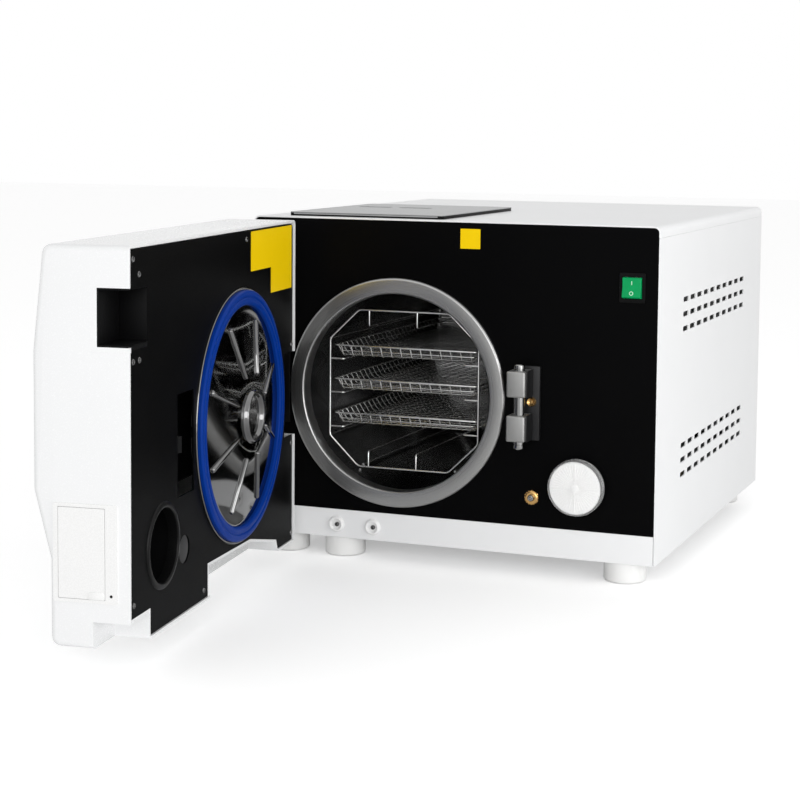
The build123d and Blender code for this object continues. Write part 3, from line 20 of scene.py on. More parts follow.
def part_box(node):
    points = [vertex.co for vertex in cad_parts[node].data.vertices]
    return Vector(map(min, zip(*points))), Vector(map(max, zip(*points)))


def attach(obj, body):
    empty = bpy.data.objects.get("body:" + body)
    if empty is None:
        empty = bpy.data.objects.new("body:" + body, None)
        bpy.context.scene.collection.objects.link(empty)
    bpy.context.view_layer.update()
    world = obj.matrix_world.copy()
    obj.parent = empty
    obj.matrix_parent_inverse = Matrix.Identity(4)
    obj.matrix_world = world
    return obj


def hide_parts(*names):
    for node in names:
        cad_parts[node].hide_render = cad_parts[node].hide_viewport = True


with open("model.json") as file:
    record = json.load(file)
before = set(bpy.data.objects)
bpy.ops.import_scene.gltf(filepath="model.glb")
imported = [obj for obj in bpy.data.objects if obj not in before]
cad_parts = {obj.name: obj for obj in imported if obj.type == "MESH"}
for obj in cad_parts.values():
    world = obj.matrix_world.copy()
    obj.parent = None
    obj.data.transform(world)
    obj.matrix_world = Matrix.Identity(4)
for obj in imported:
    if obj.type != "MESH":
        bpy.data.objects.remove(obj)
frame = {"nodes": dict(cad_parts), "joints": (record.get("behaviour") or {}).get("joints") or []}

log = logging.getLogger("autoclave")

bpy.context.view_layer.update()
MM = 0.001
CIRCLE_HANDLE = 0.5523
SMOOTH_BELOW = 32.0
WIRE_CREASE = 60.0
WIDE_STEPS = 160
DOOR_BODIES = ("door", "latch", "printer_flap")
Point = tuple[float, float]
Spot = tuple[float, float, float]
Box = tuple[float, float, float, float]
Input = float | Sequence[float] | bpy.types.NodeSocket

FACE_UP = Matrix.Identity(4)
FACE_FRONT = Matrix.Rotation(radians(90), 4, "X")
FACE_BACK = Matrix.Rotation(radians(-90), 4, "X")
FACE_RIGHT = Matrix(((0, 0, 1, 0), (1, 0, 0, 0), (0, 1, 0, 0), (0, 0, 0, 1)))


def at(x: float = 0.0, y: float = 0.0, z: float = 0.0) -> Matrix:
    """Returns the move to a point of the drawing."""
    return Matrix.Translation((x, y, z))


def linked(name: str, data: bpy.types.ID) -> bpy.types.Object:
    """Makes an object of a mesh, camera or lamp and links it to the scene.

    Args:
        name: what the object is called.
        data: its mesh, camera or lamp.

    Returns:
        The new object.
    """
    new = bpy.data.objects.new(name, data)
    bpy.context.scene.collection.objects.link(new)
    return new


@dataclass(frozen=True)
class Drawing:
    """Where the machine's drawing lies in the row frame.

    Attributes:
        middle_x: the casing's middle, in metres.
        panel_y: the front panel, in metres.
        hinge: the door's axis in the drawing.
        swing: how far the door stands open, in degrees.
    """

    middle_x: float
    panel_y: float
    hinge: Point
    swing: float = 82.85

    @classmethod
    def read(cls) -> "Drawing":
        """Reads the drawing's place from the frame.

        Returns:
            The drawing's place.
        """
        low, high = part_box("top_cover")
        middle_x, panel_y = (low.x + high.x) / 2, low.y
        pin = next(joint["pos_m"] for joint in frame["joints"] if joint["name"] == "door_hinge")
        return cls(middle_x, panel_y, ((pin[0] - middle_x) / MM, (pin[1] - panel_y) / MM))

    @property
    def casing(self) -> Matrix:
        """From the drawing to the row frame, for all that stands still."""
        return Matrix.Translation((self.middle_x, self.panel_y, 0)) @ Matrix.Scale(MM, 4)

    @property
    def door(self) -> Matrix:
        """From the drawing of the closed door to the open door in the row frame."""
        pin = at(self.hinge[0], self.hinge[1], 0)
        return self.casing @ pin @ Matrix.Rotation(radians(-self.swing), 4, "Z") @ pin.inverted()

    def place(self, body: str) -> Matrix:
        """Returns the way from the drawing to the row frame for the pieces of a body."""
        return self.door if body in DOOR_BODIES else self.casing


DRAWING = Drawing.read()


class Graph:
    """The node tree of a material or world."""

    def __init__(self, owner: bpy.types.Material | bpy.types.World) -> None:
        """Switches the owner's nodes on."""
        owner.use_nodes = True
        self.nodes, self.links = owner.node_tree.nodes, owner.node_tree.links

    def fill(self, node: bpy.types.Node, inputs: dict[str | int, Input]) -> bpy.types.Node:
        """Sets a node's inputs.

        Args:
            node: the node.
            inputs: for each input its value, or the socket that feeds it.

        Returns:
            The same node.
        """
        for key, value in inputs.items():
            if isinstance(value, bpy.types.NodeSocket):
                self.links.new(value, node.inputs[key])
            else:
                node.inputs[key].default_value = value
        return node

    def add(self, kind: str, inputs: dict[str | int, Input], **settings: str) -> bpy.types.Node:
        """Adds a node.

        Args:
            kind: its type, without the part that all types share.
            inputs: for each input its value, or the socket that feeds it.
            **settings: its own settings.

        Returns:
            The new node.
        """
        node = self.nodes.new("ShaderNode" + kind)
        for key, value in settings.items():
            setattr(node, key, value)
        return self.fill(node, inputs)


class Grain(Enum):
    """How the fine pattern of a finish lies."""

    SPECKLE = "the same in every direction"
    TURNED = "in rings about the piece's own z"


@dataclass(frozen=True)
class Finish:
    """One finish, made of nodes that read Object coordinates.

    Attributes:
        slot: the record's material slot.
        colour: linear base colour.
        metallic: 1 for bare metal.
        roughness: lowest and highest roughness in the grain.
        drift: share by which the colour drifts from patch to patch.
        patch: size of those patches.
        grain: how the grain lies.
        grain_size: size of one grain.
        relief: height of the grain.
        specular: specular level, 0.5 is usual.
        coat: weight of a clear coat.
        coat_roughness: roughness of that coat.
        clear: share of light that passes through.
        glow: strength of its own light.
    """

    slot: str
    colour: Spot
    metallic: float = 0.0
    roughness: Point = (0.3, 0.4)
    drift: float = 0.03
    patch: float = 90.0
    grain: Grain = Grain.SPECKLE
    grain_size: float = 1.2
    relief: float = 0.01
    specular: float = 0.5
    coat: float = 0.0
    coat_roughness: float = 0.1
    clear: float = 0.0
    glow: float = 0.0

    def material(self, name: str, lie: Matrix | None = None) -> bpy.types.Material:
        """Makes the material.

        Args:
            name: what the material is called.
            lie: the piece's own axes in metres, where the grain needs them.

        Returns:
            The node material.
        """
        material = bpy.data.materials.new(name)
        graph = Graph(material)
        place = graph.add("TexCoord", {}).outputs["Object"]
        if lie:
            home = lie.inverted()
            inputs = {"Location": home.to_translation(), "Rotation": home.to_euler(), "Vector": place}
            place = graph.add("Mapping", inputs).outputs["Vector"]
        low, high = ((*(c * (1 + drift) for c in self.colour), 1) for drift in (-self.drift, self.drift))
        patches = graph.add("TexNoise", {"Scale": 1 / (self.patch * MM), "Detail": 2.0, "Vector": place})
        tint = graph.add("Mix", {"A": low, "B": high, "Factor": patches.outputs[0]}, data_type="RGBA")
        grain = self._grain(graph, place)
        least, most = self.roughness
        spread = {"From Min": 0.3, "From Max": 0.7, "To Min": least, "To Max": most, "Value": grain}
        bump = {"Strength": 1.0, "Distance": self.relief * MM, "Height": grain}
        inputs = {
            "Base Color": tint.outputs["Result"],
            "Metallic": self.metallic,
            "Roughness": graph.add("MapRange", spread).outputs["Result"],
            "Normal": graph.add("Bump", bump).outputs["Normal"],
            "Specular IOR Level": self.specular,
            "Coat Weight": self.coat,
            "Coat Roughness": self.coat_roughness,
            "Transmission Weight": self.clear,
            "Emission Strength": self.glow,
        }
        if self.glow:
            inputs["Emission Color"] = (*self.colour, 1)
        graph.fill(graph.nodes["Principled BSDF"], inputs)
        return material

    def _grain(self, graph: Graph, place: bpy.types.NodeSocket) -> bpy.types.NodeSocket:
        """Adds the grain.

        Args:
            graph: the material's nodes.
            place: the socket that gives the place on the piece.

        Returns:
            The socket with the grain's factor.
        """
        look = {"Scale": 1 / (self.grain_size * MM), "Detail": 3.0}
        if self.grain is Grain.SPECKLE:
            return graph.add("TexNoise", {**look, "Vector": place}).outputs[0]
        flat = graph.add("VectorMath", {0: place, 1: (1, 1, 0)}, operation="MULTIPLY")
        reach = graph.add("VectorMath", {0: flat.outputs["Vector"]}, operation="LENGTH")
        return graph.add("TexNoise", {**look, "W": reach.outputs["Value"]}, noise_dimensions="1D").outputs[0]


POWDER_WHITE = Finish("casing_white", (0.86, 0.865, 0.87), roughness=(0.3, 0.42), drift=0.012, relief=0.012)
SHELL_WHITE = Finish("door_white", (0.88, 0.885, 0.89), roughness=(0.2, 0.3), drift=0.01, relief=0.006, coat=0.2)
PANEL_BLACK = Finish(
    "panel_black", (0.0016, 0.0016, 0.0018), roughness=(0.34, 0.44), drift=0.2, relief=0.008, specular=0.03
)
TURNED_STEEL = Finish(
    "steel_satin", (0.42, 0.42, 0.415), 1.0, (0.26, 0.4), 0.03, grain=Grain.TURNED, grain_size=0.5, relief=0.01
)
# Polished steel given a dark grey colour: painted reflection of dark surroundings on the door disc.
PAINTED_DARK_MIRROR_STEEL = Finish(
    "steel_polished", (0.2, 0.2, 0.2), 1.0, (0.04, 0.1), 0.05, grain=Grain.TURNED, grain_size=0.8, relief=0.0006
)
# Polished steel given a dark grey colour: painted shade inside the chamber.
SHADED_CHAMBER_STEEL = Finish(
    "steel_polished", (0.2, 0.2, 0.2), 1.0, (0.12, 0.22), 0.1, grain=Grain.TURNED, grain_size=1.5, relief=0.003
)
PIN_STEEL = Finish("steel_polished", (0.3, 0.3, 0.297), 1.0, (0.1, 0.18), relief=0.002)
SCREW_STEEL = Finish("steel_polished", (0.16, 0.16, 0.16), 1.0, (0.2, 0.3), relief=0.002)
WIRE_STEEL = Finish("steel_wire", (0.8, 0.8, 0.79), 1.0, (0.14, 0.26), 0.04, 25.0, grain_size=0.6, relief=0.004)
CAST_STEEL = Finish("steel_cast", (0.36, 0.36, 0.355), 1.0, (0.42, 0.58), 0.06, 20.0, grain_size=0.7, relief=0.03)
# Near-black copy of the cast steel: painted shade on the striker's base and on the knuckles' right sides.
SHADED_CAST_STEEL = Finish("steel_cast", (0.018, 0.018, 0.019), 0.6, (0.4, 0.52), 0.08, 20.0, grain_size=0.8, relief=0.015)
# Cast steel coloured near black, for the hinge bracket, door beam and latch hook.
NEAR_BLACK_STEEL = Finish(
    "steel_cast", (0.006, 0.006, 0.0065), 0.3, (0.42, 0.55), 0.1, 20.0, grain_size=0.8, relief=0.015, specular=0.1
)
CUP_GREY = Finish("black_plastic", (0.12, 0.12, 0.122), roughness=(0.35, 0.45), relief=0.01, specular=0.2)
CUP_BLACK = Finish("black_plastic", (0.004, 0.004, 0.0042), roughness=(0.26, 0.36), relief=0.008, specular=0.14)
BLACK_PLASTIC = Finish(
    "black_plastic", (0.0035, 0.0035, 0.0038), roughness=(0.4, 0.55), drift=0.1, relief=0.02, specular=0.08
)
WHITE_PLASTIC = Finish("white_plastic", (0.88, 0.88, 0.875), roughness=(0.22, 0.32), drift=0.01, relief=0.006)
LID_GREY = Finish("lid_grey", (0.33, 0.335, 0.34), roughness=(0.3, 0.4), drift=0.02, relief=0.015)
# The faint glow is painted light that brightens the rocker's green.
GREEN_PLASTIC = Finish(
    "green_plastic", (0.0, 0.26, 0.075), roughness=(0.2, 0.28), drift=0.15, patch=9.0, relief=0.004,
    specular=0.15, glow=0.2,
)
MARK_PALE = Finish("green_plastic", (0.55, 0.85, 0.65), roughness=(0.25, 0.35), relief=0.003)
BLUE_RUBBER = Finish(
    "gasket_blue", (0.0, 0.03, 0.24), roughness=(0.35, 0.48), drift=0.1, patch=30.0, relief=0.01, specular=0.08
)
BRASS = Finish("brass", (0.68, 0.42, 0.16), 1.0, (0.18, 0.32), 0.08, 8.0, grain_size=0.5, relief=0.01)
FELT = Finish("insulation", (0.62, 0.58, 0.47), roughness=(0.85, 1.0), drift=0.1, patch=8.0, relief=0.2)
GLASS_DARK = Finish("display_dark", (0.008, 0.012, 0.02), roughness=(0.04, 0.08), relief=0.001, coat=0.5)
BOARD_GREEN = Finish("board_green", (0.02, 0.16, 0.06), roughness=(0.3, 0.45), drift=0.2, patch=6.0)
FOOT_PALE = Finish("foot_light", (0.84, 0.84, 0.83), roughness=(0.4, 0.55), drift=0.02, relief=0.015)
MACHINE_GREY = Finish("machine_grey", (0.3, 0.31, 0.32), 0.7, (0.4, 0.55), 0.08, 14.0, relief=0.05)
STICKER_YELLOW = Finish(
    "sticker_yellow", (0.92, 0.62, 0.001), roughness=(0.35, 0.45), drift=0.02, relief=0.004, specular=0.12
)
CLEAR_PLASTIC = Finish(
    "white_plastic", (0.95, 0.95, 0.95), roughness=(0.03, 0.07), drift=0.01, relief=0.001, clear=0.85
)


@dataclass(frozen=True)
class Loop:
    """A closed outline with rounded corners, in its own flat plane.

    Attributes:
        x: middle across.
        y: middle upwards.
        width: size across.
        height: size upwards.
        corner: radius of the corners; half the width makes a circle.
    """

    x: float
    y: float
    width: float
    height: float
    corner: float

    def draw(self, curve: bpy.types.Curve) -> None:
        """Adds the outline to a flat curve as eight points with handles.

        Args:
            curve: the curve.
        """
        half_x, half_y = self.width / 2, self.height / 2
        corner = min(self.corner, half_x, half_y)
        reach = corner * CIRCLE_HANDLE
        spline = curve.splines.new("BEZIER")
        spline.bezier_points.add(7)
        spline.use_cyclic_u = True
        spline.resolution_u = 3 if corner < 8 else 16
        points, centre = iter(spline.bezier_points), Vector((self.x, self.y, 0))
        for side_x, side_y in ((1, 1), (-1, 1), (-1, -1), (1, -1)):
            on_side = centre + Vector((side_x * half_x, side_y * (half_y - corner), 0))
            on_end = centre + Vector((side_x * (half_x - corner), side_y * half_y, 0))
            pair = [(on_side, Vector((0, side_y * reach, 0))), (on_end, Vector((side_x * reach, 0, 0)))]
            if side_x != side_y:
                pair.reverse()
            for order, (spot, handle) in enumerate(pair):
                point = next(points)
                point.handle_left_type = point.handle_right_type = "FREE"
                point.co = spot
                point.handle_right, point.handle_left = (spot, spot + handle)[:: -1 if order == 0 else 1]


def bent(corners: Sequence[Vector], radius: float, closed: bool = False) -> list[Vector]:
    """Rounds the corners of a wire's centre line.

    Args:
        corners: the corners in order.
        radius: how far from each corner its bend starts.
        closed: whether the last corner joins the first.

    Returns:
        The points of the centre line.
    """
    count = len(corners)
    line: list[Vector] = []
    for index, corner in enumerate(corners):
        if not closed and index in (0, count - 1):
            line.append(corner)
            continue
        before, after = corners[index - 1], corners[(index + 1) % count]
        start = corner + (before - corner).normalized() * radius
        end = corner + (after - corner).normalized() * radius
        line += interpolate_bezier(start, start.lerp(corner, 0.6), end.lerp(corner, 0.6), end, 4)
    return line


class Shape:
    """The mesh of one piece, put together from bodies in the drawing's millimetres."""

    def __init__(self) -> None:
        """Starts with an empty mesh."""
        self.mesh = bmesh.new()

    def take(self, body: bmesh.types.BMesh, place: Matrix) -> "Shape":
        """Turns a finished body's faces outwards, puts it in its place and adds it to the piece.

        Args:
            body: the body, which is used up.
            place: where its own origin and axes go.

        Returns:
            The shape itself.
        """
        bmesh.ops.recalc_face_normals(body, faces=body.faces[:])
        if body.calc_volume(signed=True) < 0:
            bmesh.ops.reverse_faces(body, faces=body.faces[:])
        body.transform(place)
        spare = bpy.data.meshes.new("spare")
        body.to_mesh(spare)
        body.free()
        self.mesh.from_mesh(spare)
        bpy.data.meshes.remove(spare)
        return self

    @staticmethod
    def _bevel(body: bmesh.types.BMesh, parts: Sequence, width: float, rounds: int, affect: str = "EDGES") -> None:
        """Bevels some edges or corners of a body.

        Args:
            body: the body.
            parts: its edges or corners.
            width: width of the bevel.
            rounds: how many facets each bevel gets.
            affect: EDGES or VERTICES.
        """
        bmesh.ops.bevel(
            body, geom=parts, offset=width, offset_type="OFFSET", segments=rounds, profile=0.5, affect=affect,
            clamp_overlap=True, material=-1,
        )

    def _soften(self, body: bmesh.types.BMesh, edge: float, rounds: int, least: float = 30.0) -> None:
        """Bevels every edge of a body that is sharper than the least angle.

        Args:
            body: the body.
            edge: width of the bevel, or 0 for none.
            rounds: how many facets each edge gets.
            least: the least angle, in degrees.
        """
        if edge > 0:
            sharp = [e for e in body.edges if len(e.link_faces) == 2 and e.calc_face_angle() > radians(least)]
            self._bevel(body, sharp, edge, rounds)

    @staticmethod
    def _cone(radius: float, top: float, height: float, sides: int) -> bmesh.types.BMesh:
        """Makes a prism or cut cone that stands on the xy plane.

        Args:
            radius: radius at its foot.
            top: radius at its top.
            height: how far it stands up.
            sides: number of facets.

        Returns:
            The body.
        """
        body = bmesh.new()
        bmesh.ops.create_cone(
            body, cap_ends=True, segments=sides, radius1=radius, radius2=top, depth=height, matrix=at(0, 0, height / 2)
        )
        return body

    def turned(self, profile: Sequence[Spot], place: Matrix, steps: int = 96, closed: bool = False) -> "Shape":
        """Turns a profile about its own z axis.

        Args:
            profile: radius, height and rounding of each corner.
            place: where the axis goes.
            steps: number of facets round the axis.
            closed: whether the last corner joins the first.

        Returns:
            The shape itself.
        """
        body = bmesh.new()
        corners = [body.verts.new((radius, 0, height)) for radius, height, _ in profile]
        ends = corners[1:] + (corners[:1] if closed else [])
        for start, end in zip(corners, ends):
            body.edges.new((start, end))
        for corner, (_, _, soft) in zip(corners, profile):
            if soft > 0:
                self._bevel(body, [corner], soft, 4, "VERTICES")
        bmesh.ops.spin(
            body, geom=body.verts[:] + body.edges[:], cent=(0, 0, 0), axis=(0, 0, 1), dvec=(0, 0, 0),
            angle=2 * pi, steps=steps, use_merge=True, use_duplicate=False,
        )
        bmesh.ops.remove_doubles(body, verts=body.verts[:], dist=0.001)
        return self.take(body, place)

    def block(self, size: Spot, place: Matrix, edge: float = 0.5, rounds: int = 2) -> "Shape":
        """Adds a block with softened edges round the place's origin.

        Args:
            size: its three sizes.
            place: where its own origin and axes go.
            edge: width of the softened edges.
            rounds: how many facets each edge gets.

        Returns:
            The shape itself.
        """
        body = bmesh.new()
        bmesh.ops.create_cube(body, size=1, matrix=Matrix.Diagonal((*size, 1)))
        self._soften(body, edge, rounds)
        return self.take(body, place)

    def box(self, low: Spot, high: Spot, edge: float = 0.5, rounds: int = 2) -> "Shape":
        """Adds a block with softened edges between two corners.

        Args:
            low: its lowest corner.
            high: its highest corner.
            edge: width of the softened edges.
            rounds: how many facets each edge gets.

        Returns:
            The shape itself.
        """
        size = [end - start for start, end in zip(low, high)]
        middle = [(start + end) / 2 for start, end in zip(low, high)]
        return self.block(size, at(*middle), edge, rounds)

    def screw(self, place: Matrix, radius: float, height: float) -> "Shape":
        """Adds a low button-head screw with a round-edged socket.

        Args:
            place: where its foot and its axis go.
            radius: radius of the head.
            height: height of the head.

        Returns:
            The shape itself.
        """
        body = self._cone(radius, radius * 0.8, height, 24)
        top = max(body.faces, key=lambda face: face.calc_center_median().z)
        bmesh.ops.inset_region(body, faces=[top], thickness=radius * 0.42, depth=0)
        bmesh.ops.translate(body, verts=top.verts[:], vec=(0, 0, -height * 0.6))
        return self.take(body, place)

    def prism(self, radius: float, height: float, place: Matrix, sides: int = 6, edge: float = 0.4) -> "Shape":
        """Adds an upright prism or rod.

        Args:
            radius: its radius.
            height: its height.
            place: where its foot and its axis go.
            sides: number of facets.
            edge: width of the softened edges.

        Returns:
            The shape itself.
        """
        body = self._cone(radius, radius, height, sides)
        self._soften(body, edge, 2)
        return self.take(body, place)

    def sheet(
        self, outline: Loop, thickness: float, place: Matrix, holes: Iterable[Loop] = (), edge: float = 0.4
    ) -> "Shape":
        """Cuts a flat sheet with rounded holes, its front on the place's own xy plane.

        Args:
            outline: the sheet's outline.
            thickness: how far it reaches behind that plane.
            place: where the plane goes.
            holes: outlines of its holes.
            edge: width of the broken edges.

        Returns:
            The shape itself.
        """
        curve = bpy.data.curves.new("cut", "CURVE")
        curve.dimensions = "2D"
        curve.fill_mode = "BOTH"
        curve.extrude = thickness / 2
        for loop in (outline, *holes):
            loop.draw(curve)
        body = self._from_curve(curve)
        bmesh.ops.remove_doubles(body, verts=body.verts[:], dist=0.0005)
        self._soften(body, edge, 2, 60.0)
        return self.take(body, place @ at(0, 0, -thickness / 2))

    @staticmethod
    def _from_curve(curve: bpy.types.Curve) -> bmesh.types.BMesh:
        """Turns a curve into a mesh and removes the curve.

        Args:
            curve: the curve.

        Returns:
            The body.
        """
        holder = bpy.data.objects.new("cut", curve)
        flat = bpy.data.meshes.new_from_object(holder)
        body = bmesh.new()
        body.from_mesh(flat)
        bpy.data.objects.remove(holder)
        bpy.data.curves.remove(curve)
        bpy.data.meshes.remove(flat)
        return body

    def wires(
        self, lines: Iterable[Sequence[Vector]], radius: float, place: Matrix, closed: bool = False, sides: int = 1
    ) -> "Shape":
        """Adds round wires along centre lines.

        Args:
            lines: the points of each wire.
            radius: half of the wire's thickness.
            place: where the lines' own axes go.
            closed: whether each wire joins its own start.
            sides: fineness of the round section.

        Returns:
            The shape itself.
        """
        curve = bpy.data.curves.new("wire", "CURVE")
        curve.dimensions = "3D"
        curve.bevel_depth = radius
        curve.bevel_resolution = sides
        curve.use_fill_caps = not closed
        for line in lines:
            spline = curve.splines.new("POLY")
            spline.points.add(len(line) - 1)
            for point, spot in zip(spline.points, line):
                point.co = (*spot, 1)
            spline.use_cyclic_u = closed
        body = self._from_curve(curve)
        bmesh.ops.remove_doubles(body, verts=body.verts[:], dist=0.0005)
        return self.take(body, place)

    def deliver(
        self, name: str, finish: Finish, body: str, *nodes: str, lie: Matrix | None = None, crease: float = SMOOTH_BELOW
    ) -> bpy.types.Object:
        """Makes the piece an object of the scene that rides on its body.

        Args:
            name: the piece's name.
            finish: its finish.
            body: the CAD body that it rides on.
            *nodes: the CAD nodes that it stands for.
            lie: the place of the finish's own axes in the drawing.
            crease: edges sharper than this stay sharp, in degrees.

        Returns:
            The new object.
        """
        place = DRAWING.place(body)
        self.mesh.transform(place)
        mesh = bpy.data.meshes.new(name)
        self.mesh.to_mesh(mesh)
        self.mesh.free()
        axes = (place @ lie).normalized() if lie else None
        return deliver_mesh(name, mesh, finish.material(name, axes), finish.slot, body, nodes, crease)


def deliver_mesh(
    name: str, mesh: bpy.types.Mesh, material: bpy.types.Material, slot: str, body: str, nodes: Sequence[str],
    crease: float = SMOOTH_BELOW,
) -> bpy.types.Object:
    """Links a mesh as a piece, hangs it on its body and hides the CAD nodes that it stands for.

    Args:
        name: the piece's name.
        mesh: its mesh in the row frame.
        material: its material.
        slot: the record's material slot; not used.
        body: the CAD body that it rides on.
        nodes: the CAD nodes that it stands for.
        crease: edges sharper than this stay sharp, in degrees.

    Returns:
        The new object.
    """
    mesh.shade_smooth()
    mesh.set_sharp_from_angle(angle=radians(crease))
    piece = linked(name, mesh)
    mesh.materials.append(material)
    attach(piece, body)
    if nodes:
        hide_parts(*nodes)
    log.info("%s: %d faces on %s", name, len(mesh.polygons), body)
    return piece


def rounded_copy(node: str, finish: Finish, body: str, edge: float = 0.5, rounds: int = 2) -> bpy.types.Object:
    """Stands in for a CAD node with a merged copy whose edges are broken.

    Args:
        node: the CAD node.
        finish: its finish.
        body: the CAD body that it rides on.
        edge: width of the broken edges.
        rounds: how many facets each edge gets.

    Returns:
        The new object.
    """
    copy = bmesh.new()
    copy.from_mesh(frame["nodes"][node].data)
    bmesh.ops.remove_doubles(copy, verts=copy.verts[:], dist=2e-6)
    bmesh.ops.dissolve_degenerate(copy, dist=1e-6, edges=copy.edges[:])
    bmesh.ops.dissolve_limit(
        copy, angle_limit=radians(0.5), use_dissolve_boundaries=False, verts=copy.verts[:], edges=copy.edges[:],
    )
    mesh = bpy.data.meshes.new(node + "_finished")
    copy.to_mesh(mesh)
    copy.free()
    piece = deliver_mesh(mesh.name, mesh, finish.material(mesh.name), finish.slot, body, [node])
    bevel = piece.modifiers.new("broken_edges", "BEVEL")
    bevel.width = edge * MM
    bevel.segments = rounds
    bevel.limit_method = "ANGLE"
    bevel.angle_limit = radians(SMOOTH_BELOW)
    bevel.harden_normals = True
    return piece


def dress(finish: Finish, *nodes: str) -> None:
    """Gives CAD nodes that keep their shape their finish.

    Args:
        finish: the finish.
        *nodes: the CAD nodes.
    """
    material = finish.material(finish.slot + "_" + nodes[0])
    for node in nodes:
        slots = frame["nodes"][node].data.materials
        slots.clear()
        slots.append(material)
        log.info("%s: keeps its shape", node)


def sticker(name: str, box: Box, y: float, facing: Matrix, body: str) -> None:
    """Lays a plain yellow sticker on a panel.

    Args:
        name: the piece's name.
        box: lowest and highest x, lowest and highest z.
        y: the plane of its face.
        facing: FACE_FRONT or FACE_BACK.
        body: the CAD body that it rides on.
    """
    low_x, high_x, low_z, high_z = box
    outline = Loop(0, 0, high_x - low_x, high_z - low_z, 0.6)
    middle = at((low_x + high_x) / 2, y, (low_z + high_z) / 2)
    Shape().sheet(outline, 0.3, middle @ facing, (), 0.08).deliver(name, STICKER_YELLOW, body)


@dataclass
class Casing:
    """White sheet casing with its vents, feet and black front panel."""

    half_width: float = 267.0
    depth: float = 613.0
    bottom: float = 26.0
    side_top: float = 421.0
    sheet: float = 1.6
    vent_size: Point = (28.4, 6.4)
    vent_corner: float = 2.6
    vent_pitch: Point = (37.8, 18.5)
    vent_rows: int = 3
    vent_columns: int = 10
    vent_middle: float = 308.0
    vent_heights: Point = (319.5, 135.0)
    label_box: Box = (15.3, 41.2, 401.0, 425.5)
    label_y: float = -0.32

    def vents(self) -> list[Loop]:
        """Lays out one side's vents.

        Returns:
            The outlines of the vents.
        """
        return [
            Loop(
                self.vent_middle + (column - (self.vent_columns - 1) / 2) * self.vent_pitch[0],
                height + (row - (self.vent_rows - 1) / 2) * self.vent_pitch[1],
                *self.vent_size, self.vent_corner,
            )
            for height in self.vent_heights for row in range(self.vent_rows) for column in range(self.vent_columns)
        ]

    def build(self) -> None:
        """Builds the casing's sheets, feet and label."""
        outline = Loop(
            self.depth / 2, (self.bottom + self.side_top) / 2, self.depth, self.side_top - self.bottom, 2.0
        )
        for name, x in (("right_side", self.half_width), ("left_side", -self.half_width + self.sheet)):
            Shape().sheet(outline, self.sheet, at(x) @ FACE_RIGHT, self.vents(), 0.5).deliver(
                name + "_sheet", POWDER_WHITE, "casing", name + "_panel"
            )
        rounded_copy("base_tray", POWDER_WHITE, "casing", 0.6)
        rounded_copy("top_cover", POWDER_WHITE, "casing", 0.5)
        rounded_copy("feet", FOOT_PALE, "casing", 1.2, 3)
        rounded_copy("front_panel", PANEL_BLACK, "casing", 0.4)
        rounded_copy("rear_panel", POWDER_WHITE, "casing", 0.4)
        sticker("panel_label", self.label_box, self.label_y, FACE_FRONT, "casing")


@dataclass
class Chamber:
    """Chamber mouth and the drawn chamber behind it."""

    x: float = -68.5
    z: float = 216.4
    bore: float = 125.0
    rim: float = 145.0
    neck: float = 137.0

    @property
    def axis(self) -> Matrix:
        """The chamber's axis, with its own z towards the front."""
        return at(self.x, 0, self.z) @ FACE_FRONT

    def build(self) -> None:
        """Turns the mouth ring and dresses the chamber."""
        ring = [
            (self.bore, -16.0, 0.3), (self.bore, 3.2, 1.4), (self.bore + 1.6, 5.0, 0.7), (self.rim - 2.0, 5.0, 0.9),
            (self.rim, 3.0, 0.8), (self.rim, 0.05, 0.0), (self.neck, 0.05, 0.0), (self.neck, -16.0, 0.3),
        ]
        mouth = Shape().turned(ring, self.axis, WIDE_STEPS, True)
        mouth.deliver("mouth_ring", TURNED_STEEL, "casing", "flange_ring", lie=self.axis)
        # The chamber's dark grey steel is painted shade.
        dress(SHADED_CHAMBER_STEEL, "chamber")


